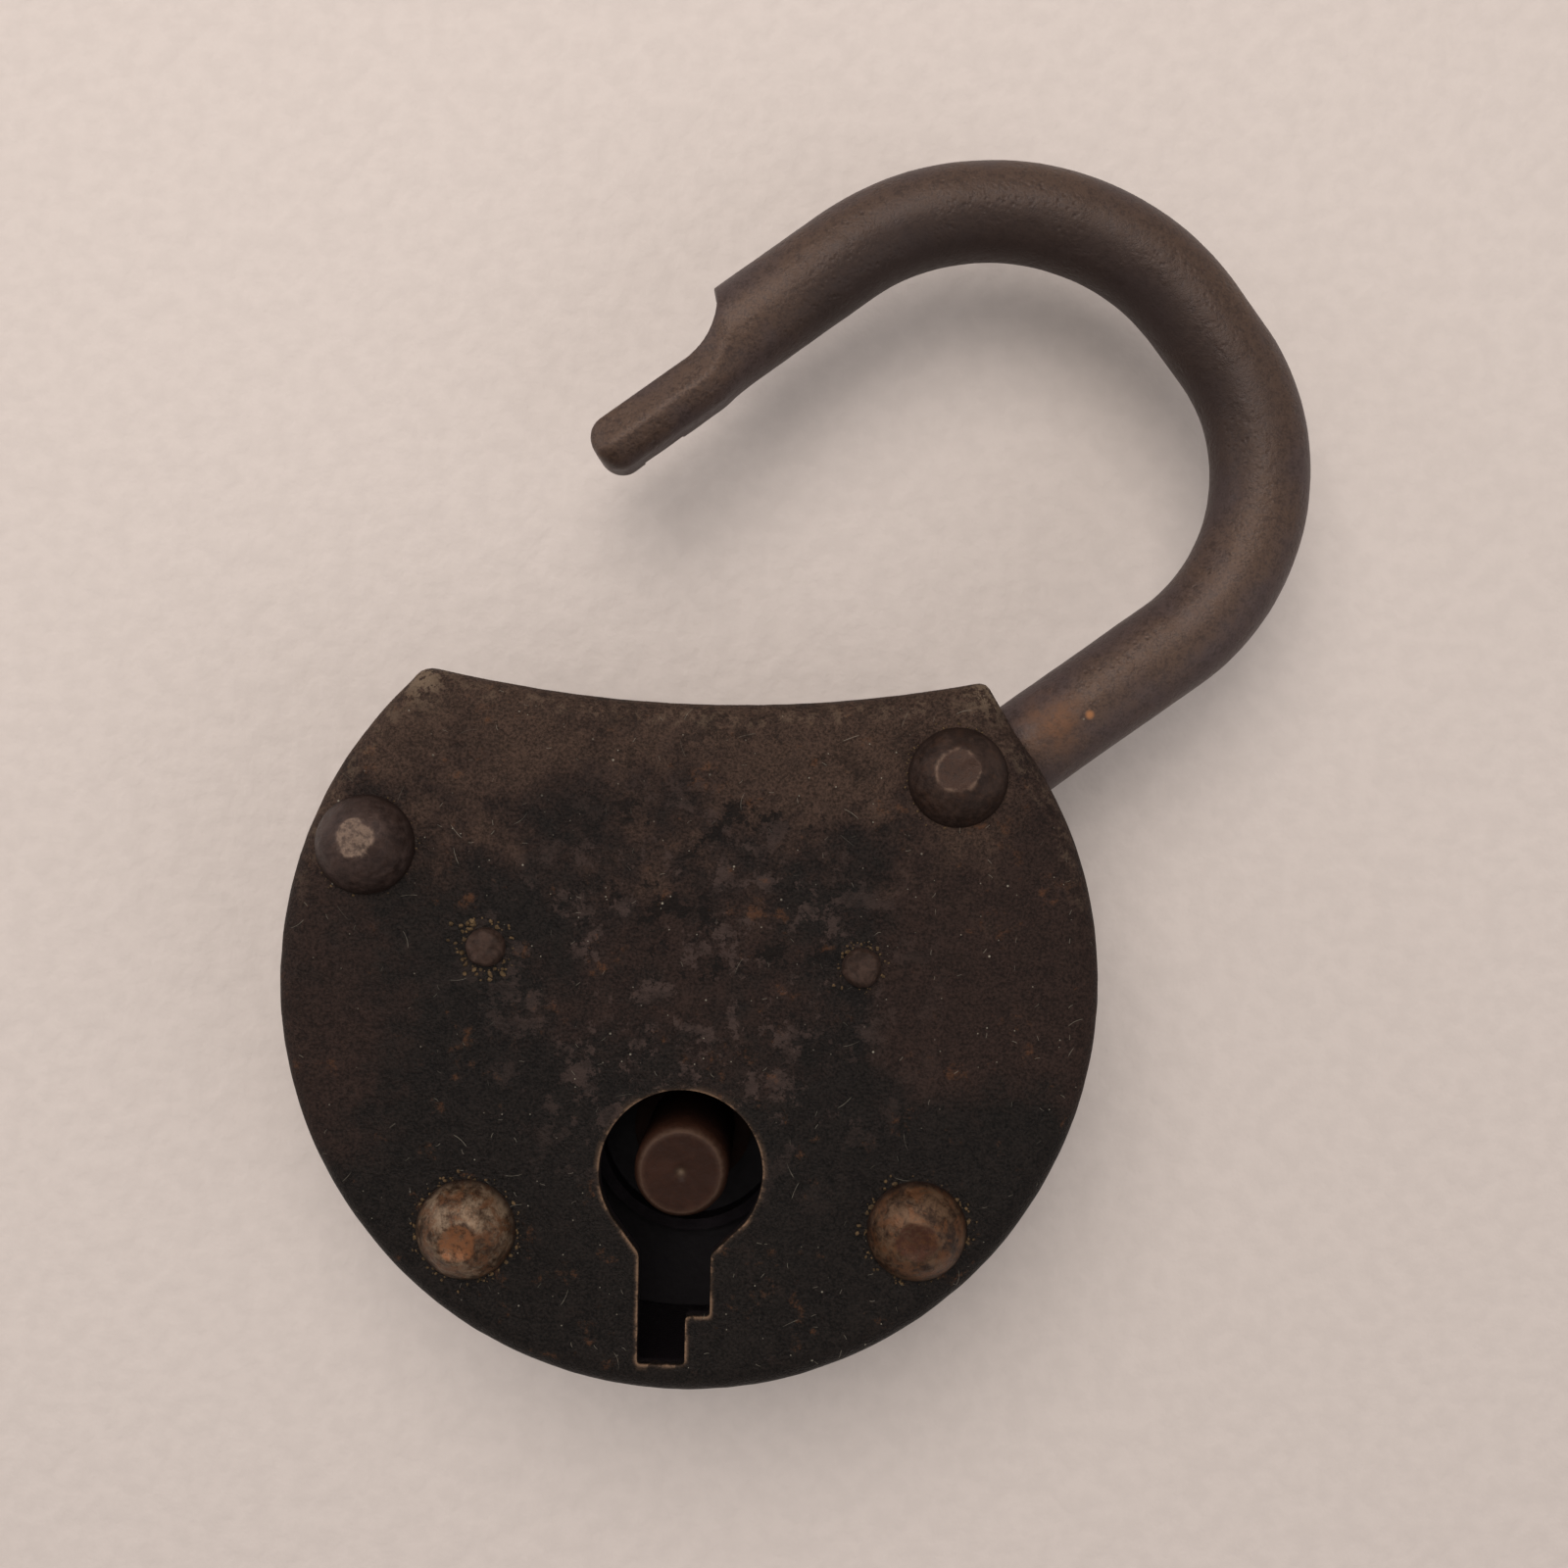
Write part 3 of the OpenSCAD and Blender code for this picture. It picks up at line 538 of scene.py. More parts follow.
def build_rivet(look, material, sizes):
    """A rivet with a dome on each side of the case. Its face is pushed in and out by random waves,
    then every point past the worn flat's plane is dropped onto that plane, and a pit is pressed
    into it."""
    lo, hi = node_box(look["node"])
    centre = node_centre(look["node"])
    head_r, head_h = (hi[0] - lo[0]) / 2, hi[2] - Z_FRONT
    front = dome_profile(head_r, head_h, 46)
    front[:, 1] += Z_FRONT
    front = np.append(front, [[head_r, Z_FRONT - SUNK]], 0)
    back = dome_profile(BACK_HEAD_R, Z_BACK - lo[2], 18)[::-1]
    back[:, 1] = Z_BACK - back[:, 1]
    mid = np.array([[SHANK_R, Z_FRONT - SUNK], [SHANK_R, Z_MID], [SHANK_R, Z_BACK + 0.05]])
    points, faces = lathe(np.concatenate([front, mid, back]), centre, 128)
    rel = np.concatenate([points[:, :2] - centre, points[:, 2:] - Z_FRONT], 1)
    out = rel * (1, 1, 1.6)
    out /= np.maximum(np.linalg.norm(out, axis=1, keepdims=True), 1e-6)
    on_head = smooth(points[:, 2], Z_FRONT + 0.1, Z_FRONT + 1.2)
    seed = look["seed"]
    push = waves(points, 3.2, seed) + 0.5 * waves(points, 1.1, seed + 1) - 1.2
    rel += out * (sizes.rivet_relief / MM * push * on_head)[:, None]
    ball = (head_r**2 + head_h**2) / (2 * head_h)
    x, y, wide = look["flat"]
    lean = np.array([x, y, math.sqrt(ball**2 - x * x - y * y)]) / ball
    past = (rel - (0, 0, head_h - ball)) @ lean - math.sqrt(ball**2 - wide**2)
    past += 0.06 * (waves(points, 2.0, seed + 2) - 1)
    on_flat = smooth(past, -0.03, 0.09) * on_head
    rel -= lean * (np.maximum(past, 0) * FLAT_WORN * on_head)[:, None]
    x, y, wide, deep = look["pit"]
    off = np.hypot(rel[:, 0] - x, rel[:, 1] - y)
    rel[:, 2] -= deep * np.exp(-((off / wide) ** 4)) * on_head
    points = np.concatenate([rel[:, :2] + centre, rel[:, 2:] + Z_FRONT], 1)
    points[:, 2] = np.minimum(points[:, 2], hi[2] - 0.002)
    marks = {"flat": on_flat, "brink": np.exp(-((past / BRINK_W) ** 2)) * on_head,
             "skirt": 1 - smooth(points[:, 2], Z_FRONT, Z_FRONT + 1.1)}
    return put_mesh(look["piece"], points, faces, material, "case", (look["node"],),
                    marks)


def build_pin(name, node, material, seed):
    """A guide pin: a riveted end with an uneven top, its shank, its collar and its back end."""
    lo, hi = node_box(node)
    centre = node_centre(node)
    end_h, collar_r = hi[2] - Z_FRONT, (hi[0] - lo[0]) / 2
    t = np.linspace(0, 1, 9)
    front = [PIN_END_R * np.sin(t * math.pi / 2) ** 0.7, Z_FRONT + end_h * (1 - t**3.2)]
    front = np.stack(front, -1)
    front[-1, 1] = Z_FRONT - SUNK
    rest = [[PIN_R, Z_FRONT - SUNK], [PIN_R, PIN_COLLAR_TOP], [collar_r, PIN_COLLAR_TOP],
            [collar_r, Z_FLOOR], [PIN_R, Z_FLOOR - 0.02], [PIN_R, Z_BACK + 0.03],
            [PIN_END_R, Z_BACK - 0.02], [PIN_END_R * 0.95, Z_BACK - 0.4],
            [PIN_END_R * 0.6, lo[2] + 0.05], [0, lo[2]]]
    points, faces = lathe(np.concatenate([front, rest]), centre, 64)
    rel = points[:, :2] - centre
    on_end = smooth(points[:, 2], Z_FRONT + 0.1, Z_FRONT + 0.5)
    points[:, :2] += rel * (0.07 * (waves(points, 1.6, seed) - 0.6) * on_end)[:, None]
    points[:, 2] += 0.12 * (waves(points, 1.0, seed + 1) - 1) * on_end
    marks = {"skirt": 1 - on_end}
    return put_mesh(name, points, faces, material, "case", (node,), marks)


def build_post(material):
    """The post that the key turns on: a turned bar with a worn chamfer and a dimple in its end."""
    top = [[r, Z_FRONT - drop] for r, drop in POST_END]
    top += [[POST_R, z] for z in np.linspace(Z_FRONT - 5, Z_FLOOR + POST_FOOT_H, 7)]
    top += [[POST_FOOT_R, Z_FLOOR + POST_FOOT_H], [POST_FOOT_R, Z_FLOOR], [POST_TAIL_R, Z_FLOOR],
            [POST_TAIL_R, Z_BACK - 0.4], [2.5, POST_LO[2]], [0, POST_LO[2]]]
    points, faces = lathe(top, POST, 128)
    rel = points[:, :2] - POST
    on_top = (points[:, 2] > Z_FRONT - 3).astype(float)
    points[:, :2] -= rel * (0.006 * (waves(points, 2.2, 31) + 1) * on_top)[:, None]
    points[:, 2] += 0.035 * (waves(points, 1.9, 32) - 1) * on_top
    far = np.linalg.norm(rel, axis=1)
    marks = {"chamfer": np.exp(-(((far - CHAMFER_R) / 0.22) ** 2)) * on_top,
             "dimple": np.exp(-((far / 0.35) ** 2)) * on_top}
    return put_mesh("key_post_end", points, faces, material, "case", ("key_post",),
                    marks)


# --- rust crumbs


def build_crumbs(material):
    """Rust crumbs on the face: twenty-sided grains with uneven corners, thrown round the pins and
    the rivets, thicker on three sides of each. All are one grain stretched, turned and moved."""
    rng = np.random.default_rng(71)
    g = (1 + math.sqrt(5)) / 2
    four = np.array([[-1, g, 0], [1, g, 0], [-1, -g, 0], [1, -g, 0]]) / math.sqrt(1 + g * g)
    base = np.concatenate([np.roll(four, k, 1) for k in range(3)])
    tri = np.array([[0, 11, 5], [0, 5, 1], [0, 1, 7], [0, 7, 10], [0, 10, 11], [1, 5, 9],
                    [5, 11, 4], [11, 10, 2], [10, 7, 6], [7, 1, 8], [3, 9, 4], [3, 4, 2], [3, 2, 6],
                    [3, 6, 8], [3, 8, 9], [4, 9, 5], [2, 4, 11], [6, 2, 10], [8, 6, 7], [9, 8, 1]])
    where, big = [], []
    for node, ring, spread, size, count in CRUMBS:
        a = rng.uniform(0, TURN, 3)[rng.integers(0, 3, count)] + rng.normal(0, 0.9, count)
        r = ring + np.abs(rng.normal(0, spread, count))
        centre = node_centre(node)
        where.append(np.stack([centre[0] + r * np.cos(a), centre[1] + r * np.sin(a)], -1))
        big.append(size * rng.uniform(0.25, 1.0, count) ** 2)
    where, big = np.concatenate(where), np.concatenate(big)
    keep = np.linalg.norm(where, axis=1) < CASE_R - EDGE_R
    where, big = where[keep], big[keep]
    n = len(big)
    stretch = rng.uniform(0.6, 1.3, (n, 1, 3)) * np.array([1, 1, 0.7])
    turn = rng.uniform(0, TURN, n)
    c, s = np.cos(turn), np.sin(turn)
    grain = base[None] * (1 + rng.uniform(-0.25, 0.25, (n, 12, 1))) * stretch * big[:, None, None]
    x = grain[..., 0] * c[:, None] - grain[..., 1] * s[:, None] + where[:, 0, None]
    y = grain[..., 0] * s[:, None] + grain[..., 1] * c[:, None] + where[:, 1, None]
    z = grain[..., 2] + Z_FRONT - 0.1 + big[:, None] * 0.25
    points = np.stack([x, y, z], -1).reshape(-1, 3)
    faces = (tri[None] + 12 * np.arange(n)[:, None, None]).reshape(-1, 3)
    return put_mesh("rust_crumbs", points, faces.tolist(), material, "case", sharp=60)


# --- materials


class Nodes:
    """A material's node tree with short calls for the nodes used here. Lengths are in metres."""

    def __init__(self, name):
        self.mat = bpy.data.materials.new(name)
        self.mat.use_nodes = True
        self.tree = self.mat.node_tree
        self.shader = self.tree.nodes["Principled BSDF"]
        self.where = self.add("ShaderNodeTexCoord").outputs["Object"]
        self.tone = None

    def add(self, kind, **settings):
        node = self.tree.nodes.new(kind)
        for key, value in settings.items():
            setattr(node, key, value)
        return node

    def link(self, value, socket):
        if isinstance(value, bpy.types.NodeSocket):
            self.tree.links.new(value, socket)
        else:
            socket.default_value = value

    def fill(self, node, **values):
        """Fills a node's inputs, each with a number or another node's socket."""
        for key, value in values.items():
            self.link(value, node.inputs[key])
        return node

    def noise(self, size, detail=4.0, rough=0.55, bend=0.0):
        """Noise whose patches are about size millimetres across, near 0.5."""
        node = self.fill(self.add("ShaderNodeTexNoise"), Vector=self.where, Scale=1 / (size * MM),
                         Detail=detail, Roughness=rough, Distortion=bend)
        return node.outputs["Fac"]

    def cells(self, size):
        """A random lattice with cells of size millimetres: the distance to the nearest of its
        points as a share of the cell, that point, and three random numbers for each cell."""
        node = self.fill(self.add("ShaderNodeTexVoronoi"), Vector=self.where, Scale=1 / (size * MM))
        lots = self.fill(self.add("ShaderNodeSeparateColor"), Color=node.outputs["Color"])
        return node.outputs["Distance"], node.outputs["Position"], lots.outputs

    def dots(self, size, radius, share):
        """Round dots of that radius, in a share of the random cells of size millimetres."""
        far, _, lots = self.cells(size)
        dot = self.step(far, radius / size * 0.7, radius / size, 1.0, 0.0)
        return self.math("MULTIPLY", dot, self.step(lots[0], 1 - share, 1 - share + 0.01))

    def fibres(self, size, long, wide, share):
        """Short fibres and scratches, one in a share of the random cells, each turned and bent its
        own way. It is a bent bar drawn round the cell's point."""
        mul, add, sub, _ = self.sums()
        _, point, lots = self.cells(size)
        rel = self.pair("ShaderNodeVectorMath", "SUBTRACT", self.where, point)
        turned = self.fill(self.add("ShaderNodeVectorRotate", rotation_type="Z_AXIS"),
                           Vector=rel.outputs["Vector"], Angle=mul(lots[1], TURN))
        part = self.fill(self.add("ShaderNodeSeparateXYZ"), Vector=turned.outputs["Vector"])
        x = self.math("DIVIDE", part.outputs[0], long / 2 * MM)
        bend = mul(mul(x, x), sub(lots[2], 0.5))
        y = add(self.math("DIVIDE", part.outputs[1], wide / 2 * MM), mul(bend, long / wide * 0.5))
        on = mul(self.step(self.math("ABSOLUTE", x), 0.7, 1.0, 1.0, 0.0),
                 self.step(self.math("ABSOLUTE", y), 0.6, 1.2, 1.0, 0.0))
        return mul(on, self.step(lots[0], 1 - share, 1 - share + 0.01))

    def mark(self, name):
        return self.add("ShaderNodeAttribute", attribute_name=name).outputs["Fac"]

    def pair(self, kind, work, a, b):
        """A node that does this work on two values."""
        node = self.add(kind, operation=work)
        for value, socket in zip((a, b), node.inputs):
            self.link(value, socket)
        return node

    def math(self, work, a, b=0.0):
        return self.pair("ShaderNodeMath", work, a, b).outputs[0]

    def sums(self):
        """Short calls that multiply, add, subtract and take the greater."""
        kinds = ("MULTIPLY", "ADD", "SUBTRACT", "MAXIMUM")
        return [lambda a, b, kind=kind: self.math(kind, a, b) for kind in kinds]

    def step(self, value, low, high, to_low=0.0, to_high=1.0):
        """Value carried from low..high to to_low..to_high, with an S curve between."""
        node = self.add("ShaderNodeMapRange", interpolation_type="SMOOTHSTEP")
        self.link(value, node.inputs["Value"])
        self.fill(node, **{"From Min": low, "From Max": high, "To Min": to_low, "To Max": to_high})
        return node.outputs["Result"]

    def mix(self, part, a, b):
        """Colour a turned to colour b by part."""
        node = self.add("ShaderNodeMix", data_type="RGBA")
        self.fill(node, Factor=part, A=colour(a), B=colour(b))
        return [o for o in node.outputs if o.type == "RGBA"][0]

    def lay(self, coat, *parts):
        """Lays a colour over the tone so far, by the product of these parts."""
        part = parts[0]
        for other in parts[1:]:
            part = self.math("MULTIPLY", part, other)
        self.tone = self.mix(part, self.tone, coat)

    def shades(self, part, tone, dark, light):
        """A tone's dark shade turned to its light one by part."""
        return self.mix(part, [c * dark for c in tone], [c * light for c in tone])

    def axis(self, which):
        """Object X, Y or Z, in millimetres."""
        node = self.fill(self.add("ShaderNodeSeparateXYZ"), Vector=self.where)
        return self.math("MULTIPLY", node.outputs[which], 1 / MM)

    def near(self, point, low, high):
        """1 within low millimetres of a point, 0 past high."""
        node = self.pair("ShaderNodeVectorMath", "DISTANCE", self.where, [c * MM for c in point])
        far = self.math("MULTIPLY", node.outputs["Value"], 1 / MM)
        return self.step(far, low, high, 1.0, 0.0)

    def finish(self, rough, metal, relief, depth, specular):
        """Sets the shader: the tone, roughness, metal, and a bump of that depth in millimetres."""
        bump = self.fill(self.add("ShaderNodeBump"), Strength=1, Distance=depth * MM, Height=relief)
        self.fill(self.shader, Roughness=rough, Metallic=metal, Normal=bump.outputs["Normal"],
                  **{"Base Color": self.tone, "Specular IOR Level": specular})
        return self.mat


def colour(c):
    """A colour as four numbers, or a socket as it is."""
    if isinstance(c, bpy.types.NodeSocket):
        return c
    return tuple(c[:3]) + (1.0,)


def case_paint(tones):
    """Worn black paint: green-black where it holds, brown rust film over the top and the middle,
    mottled grey-brown patches, bright worn edges with a painted highlight along the top edge and
    at the corners, pale dust and fine scratches."""
    m = Nodes("worn_black_paint")
    mul, add, sub, big = m.sums()
    x, y = m.axis("X"), m.axis("Y")
    broad = m.noise(24, 3, 0.5)
    patch = m.noise(8, 7, 0.72)
    fine = m.noise(1.5, 4, 0.72)
    grain = m.noise(0.30, 2, 0.75)
    uneven = sub(add(mul(patch, 2.2), mul(broad, 0.9)), 1.55)
    top = m.step(y, -4, 24)
    right = mul(m.step(x, 12, 26, 0.0, 1.15), m.step(y, -18, -3))
    left = mul(m.step(x, -20, -36, 0.0, 0.75), m.step(y, -30, -12))
    middle = mul(m.near((1, 2, Z_FRONT), 4, 30), 0.62)
    film = m.step(add(big(big(top, right), big(middle, left)), uneven), 0.2, 0.85)
    bright = m.step(add(mul(sub(fine, 0.5), 0.8), mul(sub(grain, 0.5), 1.6)), -0.36, 0.36)
    base = m.shades(bright, tones.paint, 0.4, 1.65)
    dull_film = m.shades(bright, tones.film, 0.5, 1.5)
    warm_film = m.shades(bright, tones.film_warm, 0.5, 1.5)
    warm = m.step(add(mul(top, 0.85), uneven), 0.35, 0.95)
    m.tone = m.mix(film, base, m.mix(warm, dull_film, warm_film))
    # dark holes and pale patches where the paint has lifted, most of them round the middle
    m.lay([c * 0.55 for c in tones.paint], m.step(m.noise(4.6, 7, 0.76), 0.42, 0.45, 1.0, 0.0),
          m.near((4, 8, Z_FRONT), 8, 28), 0.8)
    m.lay(tones.mottle, m.step(m.noise(3.6, 7, 0.76), 0.545, 0.565), m.near((1, 0, Z_FRONT), 8, 30),
          m.step(fine, 0.35, 0.6, 0.35, 1.0))
    m.lay(tones.rust, m.step(m.noise(4.2, 6, 0.78), 0.58, 0.66), m.step(fine, 0.42, 0.62), 0.42)
    # wear along the rounded edge, the corners and the keyhole; on the rounded edge near the top
    # and at the corners it is partly a painted highlight
    scuff = m.noise(1.5, 5, 0.78)
    # painted highlight with the wear: a bright band on the rounded edge, kept to its top
    rounding_wear_and_highlight = mul(m.step(m.mark("rounding"), 0.02, 0.30), m.step(m.mark("rounding"), 1.0, 0.6))
    worn = mul(mul(rounding_wear_and_highlight, m.step(scuff, 0.50, 0.62)), m.step(add(top, broad), 0.5, 1.4, 0.0, 0.22))
    # the corners' worn paint, partly a painted highlight
    corner = mul(mul(m.mark("corner"), m.step(scuff, 0.46, 0.53)), 0.8)
    worn = big(worn, corner)
    m.lay(tones.worn, worn)
    m.lay(tones.lip, m.mark("lip"), m.step(m.noise(2.2, 4, 0.74), 0.42, 0.56, 0.15, 1.0))
    # dust, crumbs and fibres
    lies = m.step(m.axis("Z"), Z_FRONT - 1.4, Z_FRONT - 0.7)
    dust = big(m.dots(2.3, 0.13, 0.45), m.dots(0.9, 0.075, 0.24))
    m.lay(tones.dust, dust, lies, m.step(patch, 0.4, 0.6, 0.25, 0.9))
    thread = big(m.fibres(5.5, 1.9, 0.05, 0.22), m.fibres(2.7, 0.6, 0.045, 0.25))
    m.lay(tones.dust, thread, lies, m.step(patch, 0.42, 0.58, 0.15, 0.55))
    m.lay(tones.dark, m.mark("inside"), 0.85)
    rough = sub(m.step(add(fine, mul(film, 0.25)), 0.3, 1.0, 0.42, 0.70), mul(worn, 0.12))
    relief = add(mul(grain, 1.4), add(mul(fine, 1.3), mul(patch, 0.6)))
    return m.finish(rough, mul(worn, 0.5), relief, 0.15, 0.08)


def forged_steel(tones):
    """The shackle's bar: smooth brown-grey steel with warm streaks, a painted sheen along its top,
    painted shade on the inner side of the bow, pitted stretches and, near the pivot, a rust patch."""
    m = Nodes("forged_steel")
    mul, add, sub, _ = m.sums()
    broad = m.noise(22, 4, 0.5)
    cloud = m.noise(6, 6, 0.62)
    fine = m.noise(0.9, 4, 0.70)
    grain = m.noise(0.28, 2, 0.7)
    warm = add(mul(sub(broad, 0.5), 0.8), mul(sub(cloud, 0.5), 0.9))
    # painted sheen: the bar's top is made warmer and lighter, over the warm streaks
    warm = add(mul(m.mark("upper"), 0.34), warm)
    m.tone = m.mix(m.step(warm, -0.08, 0.34), tones.steel, tones.steel_warm)
    speck = add(mul(sub(fine, 0.5), 1.0), mul(sub(grain, 0.5), 0.9))
    m.lay(tones.steel_grain_and_shade, m.step(speck, -0.22, 0.12, 0.62, 0.0))
    # painted shade: the inner side of the bow's top and of the free leg is darkened
    m.lay(tones.steel_grain_and_shade, m.step(m.mark("outer"), 0.2, 0.9, 1.0, 0.0),
          m.step(m.axis("Y"), 44, 62), m.step(m.axis("X"), 4, 14), 0.8)
    patch = mul(m.near((36.8, 26.8, 20.4), 0.5, 5.0), m.step(cloud, 0.42, 0.55, 0.3, 1.0))
    m.lay(tones.bar_rust, patch, m.step(fine, 0.35, 0.6, 0.45, 0.95))
    m.lay(tones.orange, m.near((40.5, 27.5, 20.4), 0.3, 0.7))
    m.lay(tones.dust, m.dots(3.4, 0.11, 0.3), 0.5)
    rough = m.step(add(fine, mul(patch, 0.4)), 0.3, 0.9, 0.40, 0.62)
    pits = mul(m.step(m.cells(0.75)[0], 0.0, 0.45), m.step(cloud, 0.46, 0.60))
    relief = add(mul(fine, 0.7), add(mul(grain, 0.35), mul(pits, 0.6)))
    return m.finish(rough, 0.25, relief, 0.095, 0.24)


def rivet_iron(look, tones):
    """A rivet head: brown iron in patches, dirt round its foot, rust, and a worn flat whose brink
    is the brightest."""
    m = Nodes(look["piece"] + "_iron")
    mul, add, sub, big = m.sums()
    cloud = m.noise(2.4, 8, 0.66, 0.4)
    fine = m.noise(0.6, 7, 0.70)
    patches = m.step(add(cloud, mul(sub(fine, 0.5), 0.5)), 0.34, 0.66)
    m.tone = m.mix(patches, look["low"], look["high"])
    m.lay(look["low"], m.step(fine, 0.35, 0.55, 0.5, 0.0))
    m.lay(tones.rust, m.step(m.noise(1.7, 9, 0.74, 0.6), 0.47, 0.60), look["rust"])
    m.lay(tones.film, m.mark("skirt"), m.step(fine, 0.3, 0.6, 0.55, 0.95))
    m.lay(look["worn"], m.mark("flat"), m.step(fine, 0.40, 0.56, 0.25, 0.92))
    brink = mul(m.mark("brink"), m.step(m.noise(1.3, 6, 0.7), 0.42, 0.58))
    m.lay(look["brink"], brink, 0.75)
    shine = big(brink, mul(m.mark("flat"), 0.4))
    rough = sub(m.step(fine, 0.3, 0.7, look["rough"], look["rough"] + 0.2), mul(shine, 0.05))
    return m.finish(rough, 0.45, add(fine, mul(cloud, 1.2)), 0.10, 0.2)


def old_iron(name, iron, dark, light, size=3.0, metal=0.2, marks=()):
    """Plain rusted iron in two shades of a tone, with any wear marks laid over it."""
    m = Nodes(name)
    mul, add, sub, _ = m.sums()
    cloud = m.noise(size, 7, 0.62, 0.5)
    fine = m.noise(size * 0.25, 6, 0.65)
    m.tone = m.shades(m.step(add(cloud, mul(sub(fine, 0.5), 0.5)), 0.35, 0.68), iron, dark, light)
    for mark, part, worn in marks:
        m.lay(worn, m.mark(mark), m.step(fine, 0.25, 0.6, part * 0.5, part))
    return m.finish(m.step(fine, 0.3, 0.75, 0.45, 0.75), metal, add(fine, cloud), 0.08, 0.12)


def plate_paint(tones):
    """The back plate: the case's paint and film outside, near black inside."""
    m = Nodes("back_plate_paint")
    mul, add, *_ = m.sums()
    patch = m.noise(8, 7, 0.62, 0.6)
    fine = m.noise(1.3, 5, 0.6)
    m.tone = m.mix(m.step(patch, 0.42, 0.6), tones.paint, tones.film)
    m.lay(tones.rust, m.step(m.noise(5, 8, 0.7, 1.5), 0.6, 0.7), 0.5)
    m.lay(tones.dark, m.step(m.axis("Z"), Z_BACK + 0.5, Z_BACK + 1.0))
    relief = add(mul(fine, 0.8), mul(patch, 0.8))
    return m.finish(m.step(fine, 0.3, 0.8, 0.5, 0.75), 0.0, relief, 0.08, 0.25)


# --- stage


def build_stage(tones, view):
    """A plain pale floor, a soft lamp over the far side, weak ones at the right and left, a pale
    world and a camera that looks straight down."""
    mesh = bpy.data.meshes.new("floor")
    half = 4.0
    corners = [(x * half, y * half, 0) for x, y in ((-1, -1), (1, -1), (1, 1), (-1, 1))]
    mesh.from_pydata(corners, [], [range(4)])
    m = Nodes("pale_floor")
    m.tone = m.shades(m.step(m.noise(2.6, 4, 0.5), 0.35, 0.65), tones.floor, 1.0, 0.96)
    mesh.materials.append(m.finish(0.9, 0.0, m.noise(2.6, 3, 0.5), 0.25, 0.1))
    put_in_scene("floor", mesh)

    def lamp(name, at, size, power, tint):
        data = bpy.data.lights.new(name, "AREA")
        data.shape, data.size, data.energy, data.color = "DISK", size, power, tint
        lit = put_in_scene(name, data)
        lit.location = at
        lit.rotation_mode = "QUATERNION"
        lit.rotation_quaternion = (-lit.location.normalized()).to_track_quat("-Z", "Y")

    lamp("key_lamp", (-0.06, 0.24, 0.47), 0.44, view.key_power, tones.warm_light)
    lamp("side_lamp", (0.6, -0.25, 0.55), 0.6, view.side_power, tones.cool_light)
    lamp("left_lamp", (-0.62, 0.22, 0.2), 0.4, view.left_power, tones.cool_light)
    world = bpy.data.worlds.new("pale_room")
    world.use_nodes = True
    light = world.node_tree.nodes["Background"].inputs
    light["Color"].default_value = colour(tones.room)
    light["Strength"].default_value = view.room_light
    bpy.context.scene.world = world

    cam = bpy.data.cameras.new("camera")
    cam.sensor_fit, cam.sensor_width = "HORIZONTAL", 36.0
    cam.lens = 18.0 * view.camera_height / view.half_width
    cam.clip_start, cam.clip_end = 0.01, 10.0
    eye = put_in_scene("camera", cam)
    eye.location = (view.camera_x, view.camera_y, Z_FRONT * MM + view.camera_height)
    eye.rotation_euler = (0, 0, math.radians(1.0))
    bpy.context.scene.camera = eye
    bpy.context.scene.view_settings.view_transform = "Standard"


# --- properties


def tone(name, description, default):
    """A colour property."""
    return FloatVectorProperty(name=name, description=description, default=default, size=3,
                               min=0, max=1, subtype="COLOR")


def strength(name, description, default, **more):
    """How strong a light is, or another measure that isn't negative."""
    return FloatProperty(name=name, description=description, default=default, min=0, **more)


def length(*told):
    """A length property, in metres: its name, description and default."""
    return strength(*told, unit="LENGTH", subtype="DISTANCE", precision=5)


class PadlockTones(PropertyGroup):
    """Colours of the padlock, of the floor and of the light."""

    paint: tone("Paint", "Black paint that still holds", (0.0093, 0.0070, 0.0060))
    film: tone("Rust film", "Thin brown rust over the steel", (0.0215, 0.0126, 0.0101))
    film_warm: tone("Warm film", "Lighter brown in the rust film", (0.044, 0.0262, 0.0190))
    mottle: tone("Mottle", "Grey-brown patches where the paint lifted", (0.046, 0.0300, 0.0255))
    rust: tone("Rust", "Brown-orange rust", (0.115, 0.047, 0.020))
    orange: tone("Orange rust", "Fresh orange rust", (0.30, 0.13, 0.055))
    worn: tone("Worn metal", "Bright metal on worn edges", (0.190, 0.135, 0.092))
    lip: tone("Keyhole's edge", "Worn edge round the keyhole", (0.195, 0.118, 0.074))
    crumb: tone("Crumbs", "Yellow-brown crumbs of rust", (0.125, 0.078, 0.038))
    pin: tone("Pin", "Ends of the guide pins", (0.024, 0.014, 0.0105))
    chamfer: tone("Post's edge", "Worn chamfer of the key post", (0.080, 0.046, 0.031))
    dust: tone("Dust", "Pale dust and fibres", (0.27, 0.24, 0.19))
    bar_rust: tone("Bar rust", "Rust patch on the bar near the case", (0.135, 0.064, 0.035))
    dark: tone("Dark inside", "Inside of the case", (0.0120, 0.0090, 0.0110))
    steel: tone("Bar steel", "Grey-brown steel of the shackle", (0.066, 0.0445, 0.0420))
    steel_warm: tone("Warm steel", "Warm brown streaks on the shackle", (0.084, 0.050, 0.035))
    # the bar's dark grain, also laid as painted shade on the inner side of the bow
    steel_grain_and_shade: tone("Dark steel", "Dark grain of the shackle", (0.028, 0.0175, 0.0150))
    post: tone("Post", "The key post's brown end", (0.0190, 0.0068, 0.0036))
    floor: tone("Floor", "Pale floor", (0.625, 0.550, 0.510))
    room: tone("Room", "Light of the room", (1.0, 0.965, 0.94))
    warm_light: tone("Warm light", "Key lamp's light", (1.0, 0.95, 0.90))
    cool_light: tone("Cool light", "Light of the lamps at the sides", (0.93, 0.95, 1.0))


